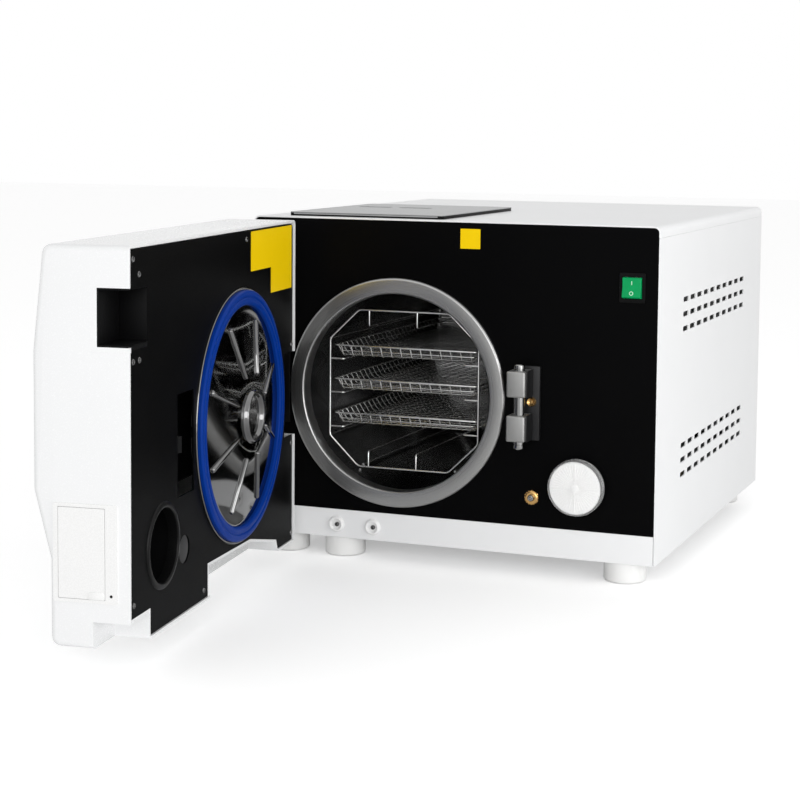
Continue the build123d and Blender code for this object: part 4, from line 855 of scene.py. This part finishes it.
@dataclass
class Rack:
    """Wire rack of two eight-sided frames with rails, guides and runners."""

    x: float = -65.7
    z: float = 217.6
    chamber_x: float = -68.5
    front: float = 16.0
    length: float = 400.0
    wire: float = 2.2
    rail_wire: float = 2.0
    half_width: float = 100.6
    half_flat: float = 61.2
    top: float = 99.9
    bottom: float = -101.0
    shoulder_high: float = 62.0
    shoulder_low: float = -63.0
    rail_x: float = 81.0
    rail_heights: tuple[float, float, float] = (253.6, 210.4, 166.3)
    guide_xs: Point = (-112.6, -47.6)
    guide_drop: float = 20.0
    bend: float = 4.0
    rail_bend: float = 3.0
    runner: float = 3.2
    runner_start: float = 30.0
    runner_radius: float = 121.8

    def build(self) -> None:
        """Bends the rack's wires and welds them into one piece."""
        near = self.front + self.wire / 2
        far = self.front + self.length - self.wire / 2
        corners = [
            (self.half_flat, self.top), (self.half_width, self.shoulder_high),
            (self.half_width, self.shoulder_low), (self.half_flat, self.bottom),
            (-self.half_flat, self.bottom), (-self.half_width, self.shoulder_low),
            (-self.half_width, self.shoulder_high), (-self.half_flat, self.top),
        ]
        rack = Shape()
        frames = [
            bent([Vector((self.x + x, y, self.z + z)) for x, z in corners], self.bend, True) for y in (near, far)
        ]
        rack.wires(frames, self.wire / 2, FACE_UP, True, 2)
        runs = []
        for side in (-1, 1):
            wall = self.x + side * self.half_width
            rail = self.x + side * self.rail_x
            for z in self.rail_heights:
                runs.append(self._bridge((wall, z), (rail, z), near, far))
            for z in (self.z + self.shoulder_high, self.z + self.shoulder_low):
                runs.append([Vector((wall, near, z)), Vector((wall, far, z))])
        for x in self.guide_xs:
            top, bottom = self.z + self.top, self.z + self.bottom
            runs.append(self._bridge((x, top), (x, top - self.guide_drop), near, far))
            runs.append(self._bridge((x, bottom), (x, bottom + self.guide_drop), near, far))
        rack.wires(runs, self.rail_wire / 2, FACE_UP, sides=2)
        share = self.runner_radius / hypot(self.half_flat, self.bottom)
        runners = [
            [
                Vector((self.chamber_x + side * share * self.half_flat, y, self.z + share * self.bottom))
                for y in (self.front + self.runner_start, self.front + self.length)
            ]
            for side in (-1, 1)
        ]
        rack.wires(runners, self.runner / 2, FACE_UP, sides=2)
        rack.deliver("wire_rack", WIRE_STEEL, "rack", "rack_frame", crease=WIRE_CREASE)

    def _bridge(self, wall: Point, rail: Point, near: float, far: float) -> list[Vector]:
        """Leads a wire from the front frame back along a rail and out to the rear frame.

        Args:
            wall: where it leaves and joins the frames.
            rail: where it runs back.
            near: depth of the front frame.
            far: depth of the rear frame.

        Returns:
            The points of its centre line.
        """
        stops = ((wall, near), (rail, near), (rail, far), (wall, far))
        return bent([Vector((x, y, z)) for (x, z), y in stops], self.rail_bend)


@dataclass
class Tray:
    """One wire mesh tray."""

    number: int
    body: str
    level: float
    x: float = -65.6
    front: float = 21.0
    width: float = 197.0
    slope: float = 8.0
    length: float = 390.0
    height: float = 16.0
    rim_wire: float = 2.2
    mesh_wire: float = 1.5
    middle_wire: float = 1.4
    corner: float = 5.0
    bend: float = 3.0
    long_pitch: float = 13.5
    cross_pitch: float = 14.6

    def build(self) -> None:
        """Bends the rims, the long wires and the cross wires of the tray."""
        radius = self.mesh_wire / 2
        floor = self.level - self.height + radius
        rim_z = self.level - self.rim_wire / 2
        half_x, half_y = (self.width - self.rim_wire) / 2, (self.length - self.rim_wire) / 2
        middle = Vector((self.x, self.front + self.length / 2, 0))
        tray = Shape()
        for z, wire, inset in ((rim_z, self.rim_wire, 0.0), ((rim_z + floor) / 2, self.middle_wire, self.slope / 2)):
            loop = [
                middle + Vector((sx * (half_x - inset), sy * (half_y - inset), z))
                for sx, sy in ((-1, -1), (1, -1), (1, 1), (-1, 1))
            ]
            tray.wires([bent(loop, self.corner, True)], wire / 2, FACE_UP, True, 2)
        top = Vector((half_x, half_y, rim_z))
        base = Vector((half_x - self.slope, half_y - self.slope, floor))
        lines = []
        for x in self._rows(base.x, self.long_pitch):
            stops = [(x, -top.y, top.z), (x, -base.y, floor), (x, base.y, floor), (x, top.y, top.z)]
            lines.append(bent([middle + Vector(stop) for stop in stops], self.bend))
        lift = floor + self.mesh_wire
        for y in self._rows(base.y, self.cross_pitch):
            stops = [(-top.x, y, top.z), (-base.x, y, lift), (base.x, y, lift), (top.x, y, top.z)]
            lines.append(bent([middle + Vector(stop) for stop in stops], self.bend))
        tray.wires(lines, radius, FACE_UP)
        name = f"tray_{self.number}"
        tray.deliver("wire_" + name, WIRE_STEEL, self.body, name, crease=WIRE_CREASE)

    @staticmethod
    def _rows(half: float, pitch: float) -> list[float]:
        """Returns the places of evenly spaced wires that fit between minus and plus half."""
        count = int(2 * half / pitch) + 1
        return [(index - (count - 1) / 2) * pitch for index in range(count)]


@dataclass
class Lid:
    """Lift-off tank lid: a grey skin with two finger slots over a black body, and a light grey front strip that is a
    painted reflection.
    """

    x: float = -120.5
    y: float = 156.0
    size: Point = (211.0, 276.0)
    bottom: float = 437.0
    trim: float = 2.0
    plate: float = 3.0
    corner: float = 6.0
    skin: float = 1.0
    seam: float = 0.05
    inset: float = 0.4
    slot_size: Point = (48.0, 16.0)
    slot_y: float = 196.0
    slot_pitch: float = 58.0
    # The light grey strip along the front edge is a painted reflection.
    strip: Spot = (197.0, 0.5, 1.6)
    strip_drop: float = 1.2

    def build(self) -> None:
        """Cuts the skin with its slots, lays it and the painted-reflection strip over the body and dresses the tank."""
        outline = Loop(self.x, self.y, *self.size, self.corner)
        slots = [
            Loop(x, self.slot_y, *self.slot_size, self.slot_size[1] / 2) for x in (self.x, self.x - self.slot_pitch)
        ]
        top = self.bottom + self.plate
        Shape().sheet(outline, self.skin, at(0, 0, top), slots).deliver("lid_plate", LID_GREY, "lid", "tank_lid")
        inner = Loop(
            self.x, self.y, self.size[0] - 2 * self.inset, self.size[1] - 2 * self.inset, self.corner - self.inset
        )
        # The black body reaches below the strip: the trim's own black, which also stands as a painted shadow line at
        # the lid's foot.
        thick = self.plate + self.trim - self.skin - 2 * self.seam
        body = Shape().sheet(inner, thick, at(0, 0, top - self.skin - self.seam))
        body.deliver("lid_body", BLACK_PLASTIC, "lid", "lid_trim", "tank_lid")
        # Painted reflection: a light grey strip on the black front edge.
        strip = at(self.x, self.y - self.size[1] / 2 + 0.3, top - self.skin - self.strip_drop)
        Shape().block(self.strip, strip, 0.2).deliver("lid_front_reflection_strip", LID_GREY, "lid", "tank_lid")
        dress(WHITE_PLASTIC, "water_tank")


@dataclass
class DoorDisc:
    """Pressed disc with its hub ring and ribs, and the blue gasket in it."""

    x: float = -68.5
    z: float = 216.4
    face: float = -10.5
    radius: float = 148.0
    crown_radius: float = 124.0
    crown_height: float = 12.5
    top_radius: float = 42.0
    hub_radius: float = 27.5
    hub_width: float = 6.5
    hub_height: float = 5.5
    wall: float = 3.5
    skirt: float = -7.0
    groove: float = -3.0
    gasket_outer: float = 145.3
    gasket_inner: float = 127.8
    rib_count: int = 8
    rib_turn: float = 24.0
    rib_span: Point = (49.0, 116.0)
    rib_width: float = 5.6
    rib_rise: float = 3.4
    rib_root: float = 2.0
    rib_taper: float = 0.35

    @property
    def axis(self) -> Matrix:
        """The disc's axis, with its own z towards the chamber."""
        return at(self.x, self.face, self.z) @ FACE_BACK

    def build(self) -> None:
        """Presses the disc with its ribs and moulds the gasket."""
        top = self.crown_height
        hub_out, hub_in = self.hub_radius + self.hub_width / 2, self.hub_radius - self.hub_width / 2
        profile = [
            (self.radius, self.skirt, 0.6), (self.radius, 0.0, 1.0), (self.gasket_outer, 0.0, 0.3),
            (self.gasket_outer, self.groove, 0.0), (self.gasket_inner, self.groove, 0.0), (self.gasket_inner, 0.0, 0.4),
            (self.crown_radius, 0.0, 3.0), (self.top_radius, top, 9.0), (hub_out, top, 1.2),
            (hub_out - 1.6, top + self.hub_height, 1.8), (hub_in + 1.6, top + self.hub_height, 1.8),
            (hub_in, top, 1.2), (0.0, top, 0.0), (0.0, top - self.wall, 0.0),
            (self.top_radius, top - self.wall, 9.0), (self.crown_radius, self.skirt, 1.0),
        ]
        disc = Shape().turned(profile, self.axis, WIDE_STEPS, True)
        tilt = atan2(self.crown_height, self.crown_radius - self.top_radius)
        middle = sum(self.rib_span) / 2
        rise = top - (middle - self.top_radius) * self.crown_height / (self.crown_radius - self.top_radius)
        for rib in range(self.rib_count):
            turn = radians(self.rib_turn - 90 + rib * 360 / self.rib_count)
            lie = self.axis @ Matrix.Rotation(turn, 4, "Z") @ at(middle, 0, rise) @ Matrix.Rotation(tilt, 4, "Y")
            self._rib(disc, lie)
        # The disc's dark grey steel is a painted dark reflection.
        disc.deliver("ribbed_disc", PAINTED_DARK_MIRROR_STEEL, "door", "door_disc", lie=self.axis, crease=50)
        section = (
            (0.0, -2.9, 0.0), (0.0, 3.4, 0.8), (0.16, 5.2, 1.0), (0.4, 5.2, 0.9), (0.5, 3.7, 0.8), (0.6, 5.2, 0.9),
            (0.84, 5.2, 1.0), (1.0, 3.4, 0.8), (1.0, -2.9, 0.0),
        )
        broad = self.gasket_outer - self.gasket_inner
        ring = [(self.gasket_inner + share * broad, height, soft) for share, height, soft in section]
        Shape().turned(ring, self.axis, WIDE_STEPS, True).deliver("door_gasket", BLUE_RUBBER, "door", "gasket")

    def _rib(self, disc: Shape, lie: Matrix) -> None:
        """Presses one rib, wider and rounder at its outer end.

        Args:
            disc: the shape that gets the rib.
            lie: where the rib's middle and axes go.
        """
        half_length = (self.rib_span[1] - self.rib_span[0]) / 2
        body = bmesh.new()
        bmesh.ops.create_uvsphere(body, u_segments=24, v_segments=12, radius=1)
        for vert in body.verts:
            share = vert.co.x
            half_width = self.rib_width / 2 * (1 + self.rib_taper * max(-1, min(1, share * 3)))
            vert.co.y *= half_width
            vert.co.z *= self.rib_rise if vert.co.z > 0 else self.rib_root
            end = half_length - half_width
            vert.co.x = share * half_width + (end if share > 0.01 else -end if share < -0.01 else 0)
        disc.take(body, lie)


@dataclass
class Door:
    """Door shell, black panel, pockets, screws and labels."""

    panel: float = -12.3
    filter_spot: Point = (173.6, 116.0)
    filter_ring: Point = (39.2, 46.0)
    recess: Box = (216.0, 266.95, 334.3, 389.0)
    recess_floor: float = -42.8
    recess_wall: float = 2.0
    recess_lip: float = 6.0
    notch_floor: float = -50.8
    notch_bottom: float = 327.0
    rebate: float = 4.5
    rim_face: float = -10.3
    rim_width: float = 4.3
    label_boxes: tuple[Box, Box] = ((-176.3, -103.0, 380.6, 427.2), (-256.5, -176.5, 349.5, 427.2))
    screw_spots: tuple[Point, ...] = (
        (253.0, 419.0), (237.0, 403.0), (253.0, 317.0), (237.0, 317.0), (253.0, 71.5),
        (-87.5, 419.0), (54.0, 40.0), (-257.75, 278.4), (-257.75, 154.4), (-257.75, 40.0),
    )

    def _recess(self) -> None:
        """Lines the hand recess, and closes the shell's notch behind and below it."""
        low_x, high_x, low_z, high_z = self.recess
        wall, floor, front = self.recess_wall, self.recess_floor, self.panel
        left, behind, under, above = low_x - wall, floor - wall, low_z - wall, high_z + wall
        liner = Shape()
        for low, high in (
            ((left, behind, under), (high_x, floor, above)),
            ((left, floor, under), (low_x, front, above)),
            ((left, floor, high_z), (high_x, front, above)),
            ((left, floor, under), (high_x, front, low_z)),
            ((left, front - wall, low_z - self.recess_lip), (high_x - self.rebate, front, low_z)),
        ):
            liner.box(low, high, 0.3)
        liner.deliver("recess_liner", BLACK_PLASTIC, "door", "switch_recess")
        filler = Shape()
        for low, high in (
            ((low_x, self.notch_floor, self.notch_bottom), (high_x, behind, above)),
            ((low_x, behind, self.notch_bottom), (high_x - self.rebate - 0.5, front - wall, under)),
            ((high_x - self.rim_width, behind, self.notch_bottom), (high_x, self.rim_face, under)),
        ):
            filler.box(low, high, 0.1, 1)
        filler.deliver("recess_surround", SHELL_WHITE, "door")

    def build(self) -> None:
        """Finishes the shell and panel and adds labels and screws."""
        rounded_copy("door_shell", SHELL_WHITE, "door", 0.7)
        rounded_copy("door_panel", PANEL_BLACK, "door", 0.35)
        self._recess()
        rounded_copy("filter_cup", BLACK_PLASTIC, "door", 0.6)
        rounded_copy("port_cup", CUP_GREY, "door", 0.5)
        rounded_copy("door_beam", NEAR_BLACK_STEEL, "door", 0.8)
        dress(CAST_STEEL, "disc_stud")
        dress(BLACK_PLASTIC, "latch_motor", "printer_unit")
        dress(BOARD_GREEN, "display_board")
        for number, box in enumerate(self.label_boxes, 1):
            sticker(f"door_label_{number}", box, self.panel + 0.32, FACE_BACK, "door")
        screws = Shape()
        for x, z in self.screw_spots:
            screws.screw(at(x, self.panel, z) @ FACE_BACK, 3.2, 1.0)
        screws.deliver("panel_screws", SCREW_STEEL, "door", "door_screws")
        axis = at(self.filter_spot[0], self.panel, self.filter_spot[1]) @ FACE_BACK
        inner, outer = self.filter_ring
        collar = [
            (inner, -10.0, 0.0), (inner, 1.2, 0.8), (inner + 1.6, 2.2, 0.8), (outer - 1.6, 1.6, 0.9),
            (outer, 0.3, 0.4), (outer, -0.6, 0.0), (inner + 2.6, -0.6, 0.0), (inner + 2.6, -10.0, 0.0),
        ]
        Shape().turned(collar, axis, 96, True).deliver("filter_cup_collar", CUP_BLACK, "door", "filter_cup")


@dataclass
class Printer:
    """White frame and flap of the printer in the door's free side."""

    side: float = 267.0
    middle_y: float = -57.8
    flap_y: float = -61.8
    z: float = 125.0
    size: Point = (69.0, 100.0)
    frame: float = 1.5
    flap: Point = (50.0, 92.0)
    flap_plate: float = 2.5
    flap_gap: float = 0.4
    button: Point = (-30.0, 83.3)

    def build(self) -> None:
        """Cuts the frame and the flap."""
        face = at(self.side + self.frame) @ FACE_RIGHT
        wide, tall = self.flap
        opening = Loop(self.flap_y, self.z, wide + 2 * self.flap_gap, tall + 2 * self.flap_gap, 0.6)
        surround = Shape().sheet(Loop(self.middle_y, self.z, *self.size, 2.0), self.frame, face, [opening], 0.5)
        surround.deliver("printer_surround", WHITE_PLASTIC, "door", "printer_frame")
        flap = Shape().sheet(Loop(self.flap_y, self.z, wide, tall, 0.8), self.flap_plate, face, (), 0.6)
        tab = at(self.side + 1.8, self.flap_y + wide * 0.32, self.z - tall * 0.46)
        flap.block((1.2, wide / 3, tall / 12), tab, 0.4)
        flap.deliver("printer_flap_plate", WHITE_PLASTIC, "printer_flap", "printer_lid")
        button = at(self.side + self.frame - 0.05, *self.button) @ FACE_RIGHT
        Shape().prism(1.5, 0.3, button, 24, 0.08).deliver("printer_button", BLACK_PLASTIC, "door")


class Display:
    """Dark window in the front of the door."""

    def build(self) -> None:
        """Finishes the window."""
        rounded_copy("display_window", GLASS_DARK, "door", 0.8, 3)


@dataclass
class Striker:
    """Striker on the front panel: two cast knuckles on a base coloured near black as painted shade, with painted-shade
    sheets on their right sides, a pin and a brass screw.
    """

    x: float = 100.5
    y: float = -24.0
    z: float = 213.0
    radius: float = 11.8
    height: float = 86.0
    gap: float = 22.4
    lift: float = 1.0
    pin_shift: float = 1.5
    knuckle_edge: float = 2.2
    base: float = 6.0
    flange: float = 33.0
    # Thickness of the near-black sheets on the knuckles' right sides, which are painted shade.
    shade_sheet: float = 1.6
    screw_spot: Point = (-0.6, 4.2)
    pin_radius: float = 6.5
    pin_length: float = 104.0

    def build(self) -> None:
        """Casts the knuckles, the painted-shade base and sheets, turns the pin and the screw."""
        knuckles = Shape()
        tall = (self.height - self.gap) / 2
        deep = self.radius - self.y
        heights = [self.z + self.lift + side * (self.gap + tall) / 2 for side in (-1, 1)]
        for z in heights:
            knuckles.block((2 * self.radius, deep, tall), at(self.x, -deep / 2 - 0.02, z), self.knuckle_edge, 4)
        knuckles.deliver("striker_knuckles", CAST_STEEL, "casing", "striker_block")
        left, right = self.x - self.radius, self.x + self.radius
        # The base is coloured near black as painted shade.
        base = Shape().block(
            (self.flange, self.base, self.height + 5), at(left + self.flange / 2, -self.base / 2, self.z + 2.5), 0.6
        )
        # Sheets on the knuckles' right sides, near black as painted shade.
        for z in heights:
            plate = (self.shade_sheet, deep - self.base, tall + 0.6)
            base.block(plate, at(right + self.shade_sheet / 4, (self.base - deep) / 2, z), 0.5)
        base.deliver("striker_base", SHADED_CAST_STEEL, "casing", "striker_block")
        low = at(self.x + self.pin_shift, self.y, self.z - self.pin_length / 2)
        radius, neck, top = self.pin_radius, self.pin_radius - 0.6, self.pin_length
        profile = [
            (0.0, 0.0, 0.0), (5.4, 0.0, 0.3), (radius, 1.2, 0.3), (radius, 5.2, 0.0), (neck, 5.4, 0.0),
            (neck, 6.4, 0.0), (radius, 6.6, 0.0), (radius, top - 6.6, 0.0), (neck, top - 6.4, 0.0),
            (neck, top - 5.4, 0.0), (radius, top - 5.2, 0.0), (radius, top - 1.2, 0.3), (5.4, top, 0.3),
            (0.0, top, 0.0),
        ]
        Shape().turned(profile, low, 64).deliver("striker_bolt", PIN_STEEL, "casing", "striker_pin")
        head = at(right + self.screw_spot[0], -self.base, self.z + self.screw_spot[1]) @ FACE_FRONT
        Shape().screw(head, self.base, self.base / 2).deliver("striker_base_screw", BRASS, "casing", "striker_screw")


class Latch:
    """Hook, shaft and hinge."""

    def build(self) -> None:
        """Finishes the latch and hinge pieces."""
        rounded_copy("latch_hook", NEAR_BLACK_STEEL, "latch", 0.6)
        dress(PIN_STEEL, "latch_shaft")
        rounded_copy("hinge_bracket", NEAR_BLACK_STEEL, "casing", 0.8)
        rounded_copy("hinge_pin", PIN_STEEL, "casing", 0.6)


@dataclass
class PowerSwitch:
    """Green rocker with its two marks, in a dark bezel."""

    x: float = 234.0
    z: float = 361.0
    face: float = -5.0
    slant: float = 16.0
    mark: float = 6.2

    def build(self) -> None:
        """Finishes rocker and bezel and adds the marks."""
        rounded_copy("switch_bezel", BLACK_PLASTIC, "casing", 0.5)
        rounded_copy("power_rocker", GREEN_PLASTIC, "rocker", 0.7, 3)
        marks = Shape()
        marks.block((0.9, 0.3, 4.6), at(self.x, self.face - 0.05, self.z + self.mark), 0.1)
        lean = Matrix.Rotation(radians(-self.slant), 4, "X")
        spot = at(self.x, self.face - self.mark * tan(radians(self.slant)), self.z - self.mark)
        ring = [(2.5, 0.0, 0.0), (2.5, 0.2, 0.0), (1.7, 0.2, 0.0), (1.7, 0.0, 0.0)]
        marks.turned(ring, spot @ lean @ FACE_FRONT, 40, True)
        marks.deliver("rocker_marks", MARK_PALE, "rocker")


@dataclass
class AirFilter:
    """Round air filter: white pleated face in a clear rim."""

    x: float = 171.4
    z: float = 117.0
    back: float = 6.0
    front: float = 20.0
    radius: float = 34.6
    face_radius: float = 32.4
    fit: float = 0.15
    pleats: int = 48

    def build(self) -> None:
        """Builds the filter's face, its pleats and its rim."""
        axis = at(self.x, 0, self.z) @ FACE_FRONT
        face = Shape().turned(
            [
                (0.0, self.front - 1.4, 0.0), (self.face_radius - 1, self.front - 1.4, 0.8),
                (self.face_radius, self.front - 3.0, 0.5), (self.face_radius, self.back + 0.6, 0.5),
                (14.0, self.back + 0.2, 0.0), (14.0, 0.02, 0.3), (0.0, 0.02, 0.0),
            ],
            axis, 96,
        )
        for pleat in range(self.pleats):
            turn = Matrix.Rotation(radians(pleat * 360 / self.pleats), 4, "Z")
            broad = pleat % (self.pleats // 4) == 0
            size = (24.5, 1.7 if broad else 0.8, 0.9 if broad else 0.6)
            face.block(size, axis @ turn @ at(17.2, 0, self.front - 1.3), 0.15, 1)
        face.prism(5.0, 1.2, axis @ at(0, 0, self.front - 1.6), 32, 0.3)
        face.deliver("filter_pleats", WHITE_PLASTIC, "casing", "air_filter")
        inner = self.face_radius + self.fit
        rim = [
            (inner, self.back, 0.3), (inner, self.front - 0.6, 0.5), (self.face_radius + 1.2, self.front, 0.5),
            (self.radius - 1.6, self.front - 0.4, 0.9),
            (self.radius - 0.8, self.front - 4.0, 0.6), (self.radius, self.front - 5.0, 0.5),
            (self.radius, self.back + 1.0, 0.6), (self.radius - 1.0, self.back, 0.4),
        ]
        Shape().turned(rim, axis, 128, True).deliver("filter_rim", CLEAR_PLASTIC, "casing", "air_filter")


@dataclass
class BrassPort:
    """Brass test port with a steel centre."""

    x: float = 112.7
    z: float = 98.8
    notches: int = 16

    def build(self) -> None:
        """Builds the nut, the notched ring and the steel centre."""
        axis = at(self.x, 0, self.z) @ FACE_FRONT
        nut = Shape().prism(9.4, 3.6, axis @ at(0, 0, 0.02), 6, 0.5)
        nut.turned(
            [(8.4, 3.4, 0.0), (8.4, 4.6, 0.4), (6.6, 5.6, 0.4), (4.0, 5.6, 0.3), (4.0, 3.4, 0.0)], axis, 64, True
        )
        for notch in range(self.notches):
            turn = Matrix.Rotation(radians(notch * 360 / self.notches), 4, "Z")
            nut.block((1.0, 1.7, 1.4), axis @ turn @ at(8.4, 0, 4.3), 0.25, 1)
        nut.deliver("port_nut", BRASS, "casing", "brass_port")
        centre = [
            (4.1, 3.4, 0.0), (4.1, 8.6, 0.5), (3.1, 10.0, 0.4), (1.7, 10.0, 0.3), (1.5, 7.0, 0.0), (0.0, 7.0, 0.0)
        ]
        Shape().turned(centre, axis, 48).deliver("port_centre", PIN_STEEL, "casing", "brass_port")


@dataclass
class Drains:
    """Two drain valves in the white strip."""

    xs: Point = (-148.6, -98.9)
    z: float = 43.0

    def build(self) -> None:
        """Builds the white rosettes and the small nozzles."""
        rosettes, nozzles = Shape(), Shape()
        for x in self.xs:
            axis = at(x, 0, self.z) @ FACE_FRONT
            rosettes.turned(
                [
                    (0.0, 1.6, 0.0), (5.6, 1.6, 0.6), (7.0, 4.4, 0.9), (8.6, 4.6, 0.9), (10.4, 1.2, 0.8),
                    (10.5, 0.02, 0.0), (8.9, 0.0, 0.0), (8.9, -26.8, 0.5), (0.0, -26.8, 0.0),
                ],
                axis, 64,
            )
            nozzles.turned(
                [
                    (2.9, 1.4, 0.0), (2.9, 3.2, 0.5), (2.3, 4.2, 0.4), (1.5, 4.2, 0.2), (1.4, 2.0, 0.0),
                    (0.0, 2.0, 0.0),
                ],
                axis @ at(1.2, 0, 0), 32,
            )
        rosettes.deliver("drain_rosettes", WHITE_PLASTIC, "casing", "drain_valves")
        nozzles.deliver("drain_nozzles", SCREW_STEEL, "casing", "drain_valves")


class Works:
    """Rear fittings and the working parts inside the casing."""

    def build(self) -> None:
        """Dresses the CAD nodes and finishes the rear fittings."""
        dress(CAST_STEEL, "heater_bands", "chamber_cradle", "steam_generator")
        dress(FELT, "insulation")
        dress(BLACK_PLASTIC, "fan_frame", "fan_rotor", "water_pump")
        dress(MACHINE_GREY, "condenser", "vacuum_pump", "power_supply")
        dress(BRASS, "solenoid_valves")
        dress(BOARD_GREEN, "control_board")
        rounded_copy("safety_valve", BRASS, "casing", 0.5)
        rounded_copy("mains_inlet", BLACK_PLASTIC, "casing", 0.5)


@dataclass
class Studio:
    """Camera, pale floor, soft lights and white surroundings."""

    sensor: float = 36.0
    camera_spot: Spot = (814.07, -2210.0, 556.42)
    yaw: float = 21.679
    pitch: float = 4.745
    roll: float = 0.48
    focal_pixels: float = 1910.2
    image_pixels: float = 800.0
    shift: float = -0.15
    world_strength: float = 0.66
    lamp_aim: Spot = (0.0, 0.0, 0.2)
    floor_size: float = 12.0
    floor_grey: float = 0.93
    floor_lift: float = 0.34
    lamps: tuple[tuple[str, Spot, Point, float], ...] = (
        ("key", (1.7, -5.2, 1.4), (3.4, 2.4), 80.0),
        ("side", (3.6, -0.6, 1.1), (2.2, 1.8), 17.0),
        ("low", (1.1, -0.8, 0.3), (0.7, 0.5), 3.6),
        ("top", (0.0, 0.3, 3.0), (2.6, 2.6), 2.0),
    )

    def build(self) -> None:
        """Sets up camera, floor, lights and world."""
        data = bpy.data.cameras.new("camera")
        data.sensor_width = self.sensor
        data.lens = self.focal_pixels * self.sensor / self.image_pixels
        data.shift_y = self.shift
        data.clip_start, data.clip_end = 0.05, 60.0
        camera = linked("camera", data)
        spot = DRAWING.casing @ Vector(self.camera_spot)
        turn = (
            Matrix.Rotation(radians(self.yaw), 4, "Z")
            @ Matrix.Rotation(radians(90 - self.pitch), 4, "X")
            @ Matrix.Rotation(radians(self.roll), 4, "Z")
        )
        camera.matrix_world = Matrix.Translation(spot) @ turn
        bpy.context.scene.camera = camera
        bpy.context.scene.view_settings.view_transform = "Standard"
        self._floor()
        self._world()
        for lamp in self.lamps:
            self._lamp(*lamp)

    def _lamp(self, name: str, spot: Spot, size: Point, power: float) -> None:
        """Hangs a soft lamp that looks at the object's middle.

        Args:
            name: what the lamp is called.
            spot: where it hangs, in metres.
            size: its two sides, in metres.
            power: its power, in watts.
        """
        data = bpy.data.lights.new(name, "AREA")
        data.shape = "RECTANGLE"
        data.size, data.size_y = size
        data.energy = power
        lamp = linked(name, data)
        lamp.location = spot
        lamp.rotation_mode = "QUATERNION"
        lamp.rotation_quaternion = (Vector(spot) - Vector(self.lamp_aim)).to_track_quat("Z", "Y")

    def _floor(self) -> None:
        """Lays a wide pale floor."""
        body = bmesh.new()
        bmesh.ops.create_grid(body, x_segments=1, y_segments=1, size=self.floor_size)
        mesh = bpy.data.meshes.new("floor")
        body.to_mesh(mesh)
        body.free()
        floor = linked("floor", mesh)
        floor.location = (0, 0, -0.0005)
        material = bpy.data.materials.new("floor_pale")
        graph = Graph(material)
        seen = graph.add("LightPath", {}).outputs["Is Camera Ray"]
        lift = graph.add("Math", {0: seen, 1: self.floor_lift}, operation="MULTIPLY")
        inputs = {
            "Base Color": (*3 * (self.floor_grey,), 1), "Roughness": 0.9, "Specular IOR Level": 0.1,
            "Emission Color": (1, 1, 1, 1), "Emission Strength": lift.outputs["Value"],
        }
        graph.fill(graph.nodes["Principled BSDF"], inputs)
        mesh.materials.append(material)

    def _world(self) -> None:
        """Makes the surroundings white to the camera, metal and glass, and plain light to the rest."""
        world = bpy.data.worlds.new("studio")
        bpy.context.scene.world = world
        graph = Graph(world)
        path = graph.add("LightPath", {})
        total = path.outputs["Is Camera Ray"]
        for ray in ("Is Glossy Ray", "Is Transmission Ray"):
            total = graph.add("Math", {0: total, 1: path.outputs[ray]}, operation="MAXIMUM").outputs["Value"]
        strength = graph.add("MapRange", {"To Min": self.world_strength, "To Max": 1.0, "Value": total})
        inputs = {"Color": (1, 1, 1, 1), "Strength": strength.outputs["Result"]}
        graph.fill(graph.nodes["Background"], inputs)


def main() -> None:
    """Builds the sub-assemblies in order."""
    logging.basicConfig(level=logging.INFO, format="%(message)s")
    levels = (("upper_tray", 271.4), ("middle_tray", 228.2), ("lower_tray", 184.1))
    trays = [Tray(number, body, level) for number, (body, level) in enumerate(levels, 1)]
    for part in (
        Studio(), Casing(), Chamber(), Rack(), *trays, Lid(), Door(), DoorDisc(), Printer(), Display(), Striker(),
        Latch(), PowerSwitch(), AirFilter(), BrassPort(), Drains(), Works(),
    ):
        part.build()


if __name__ == "__main__":
    main()
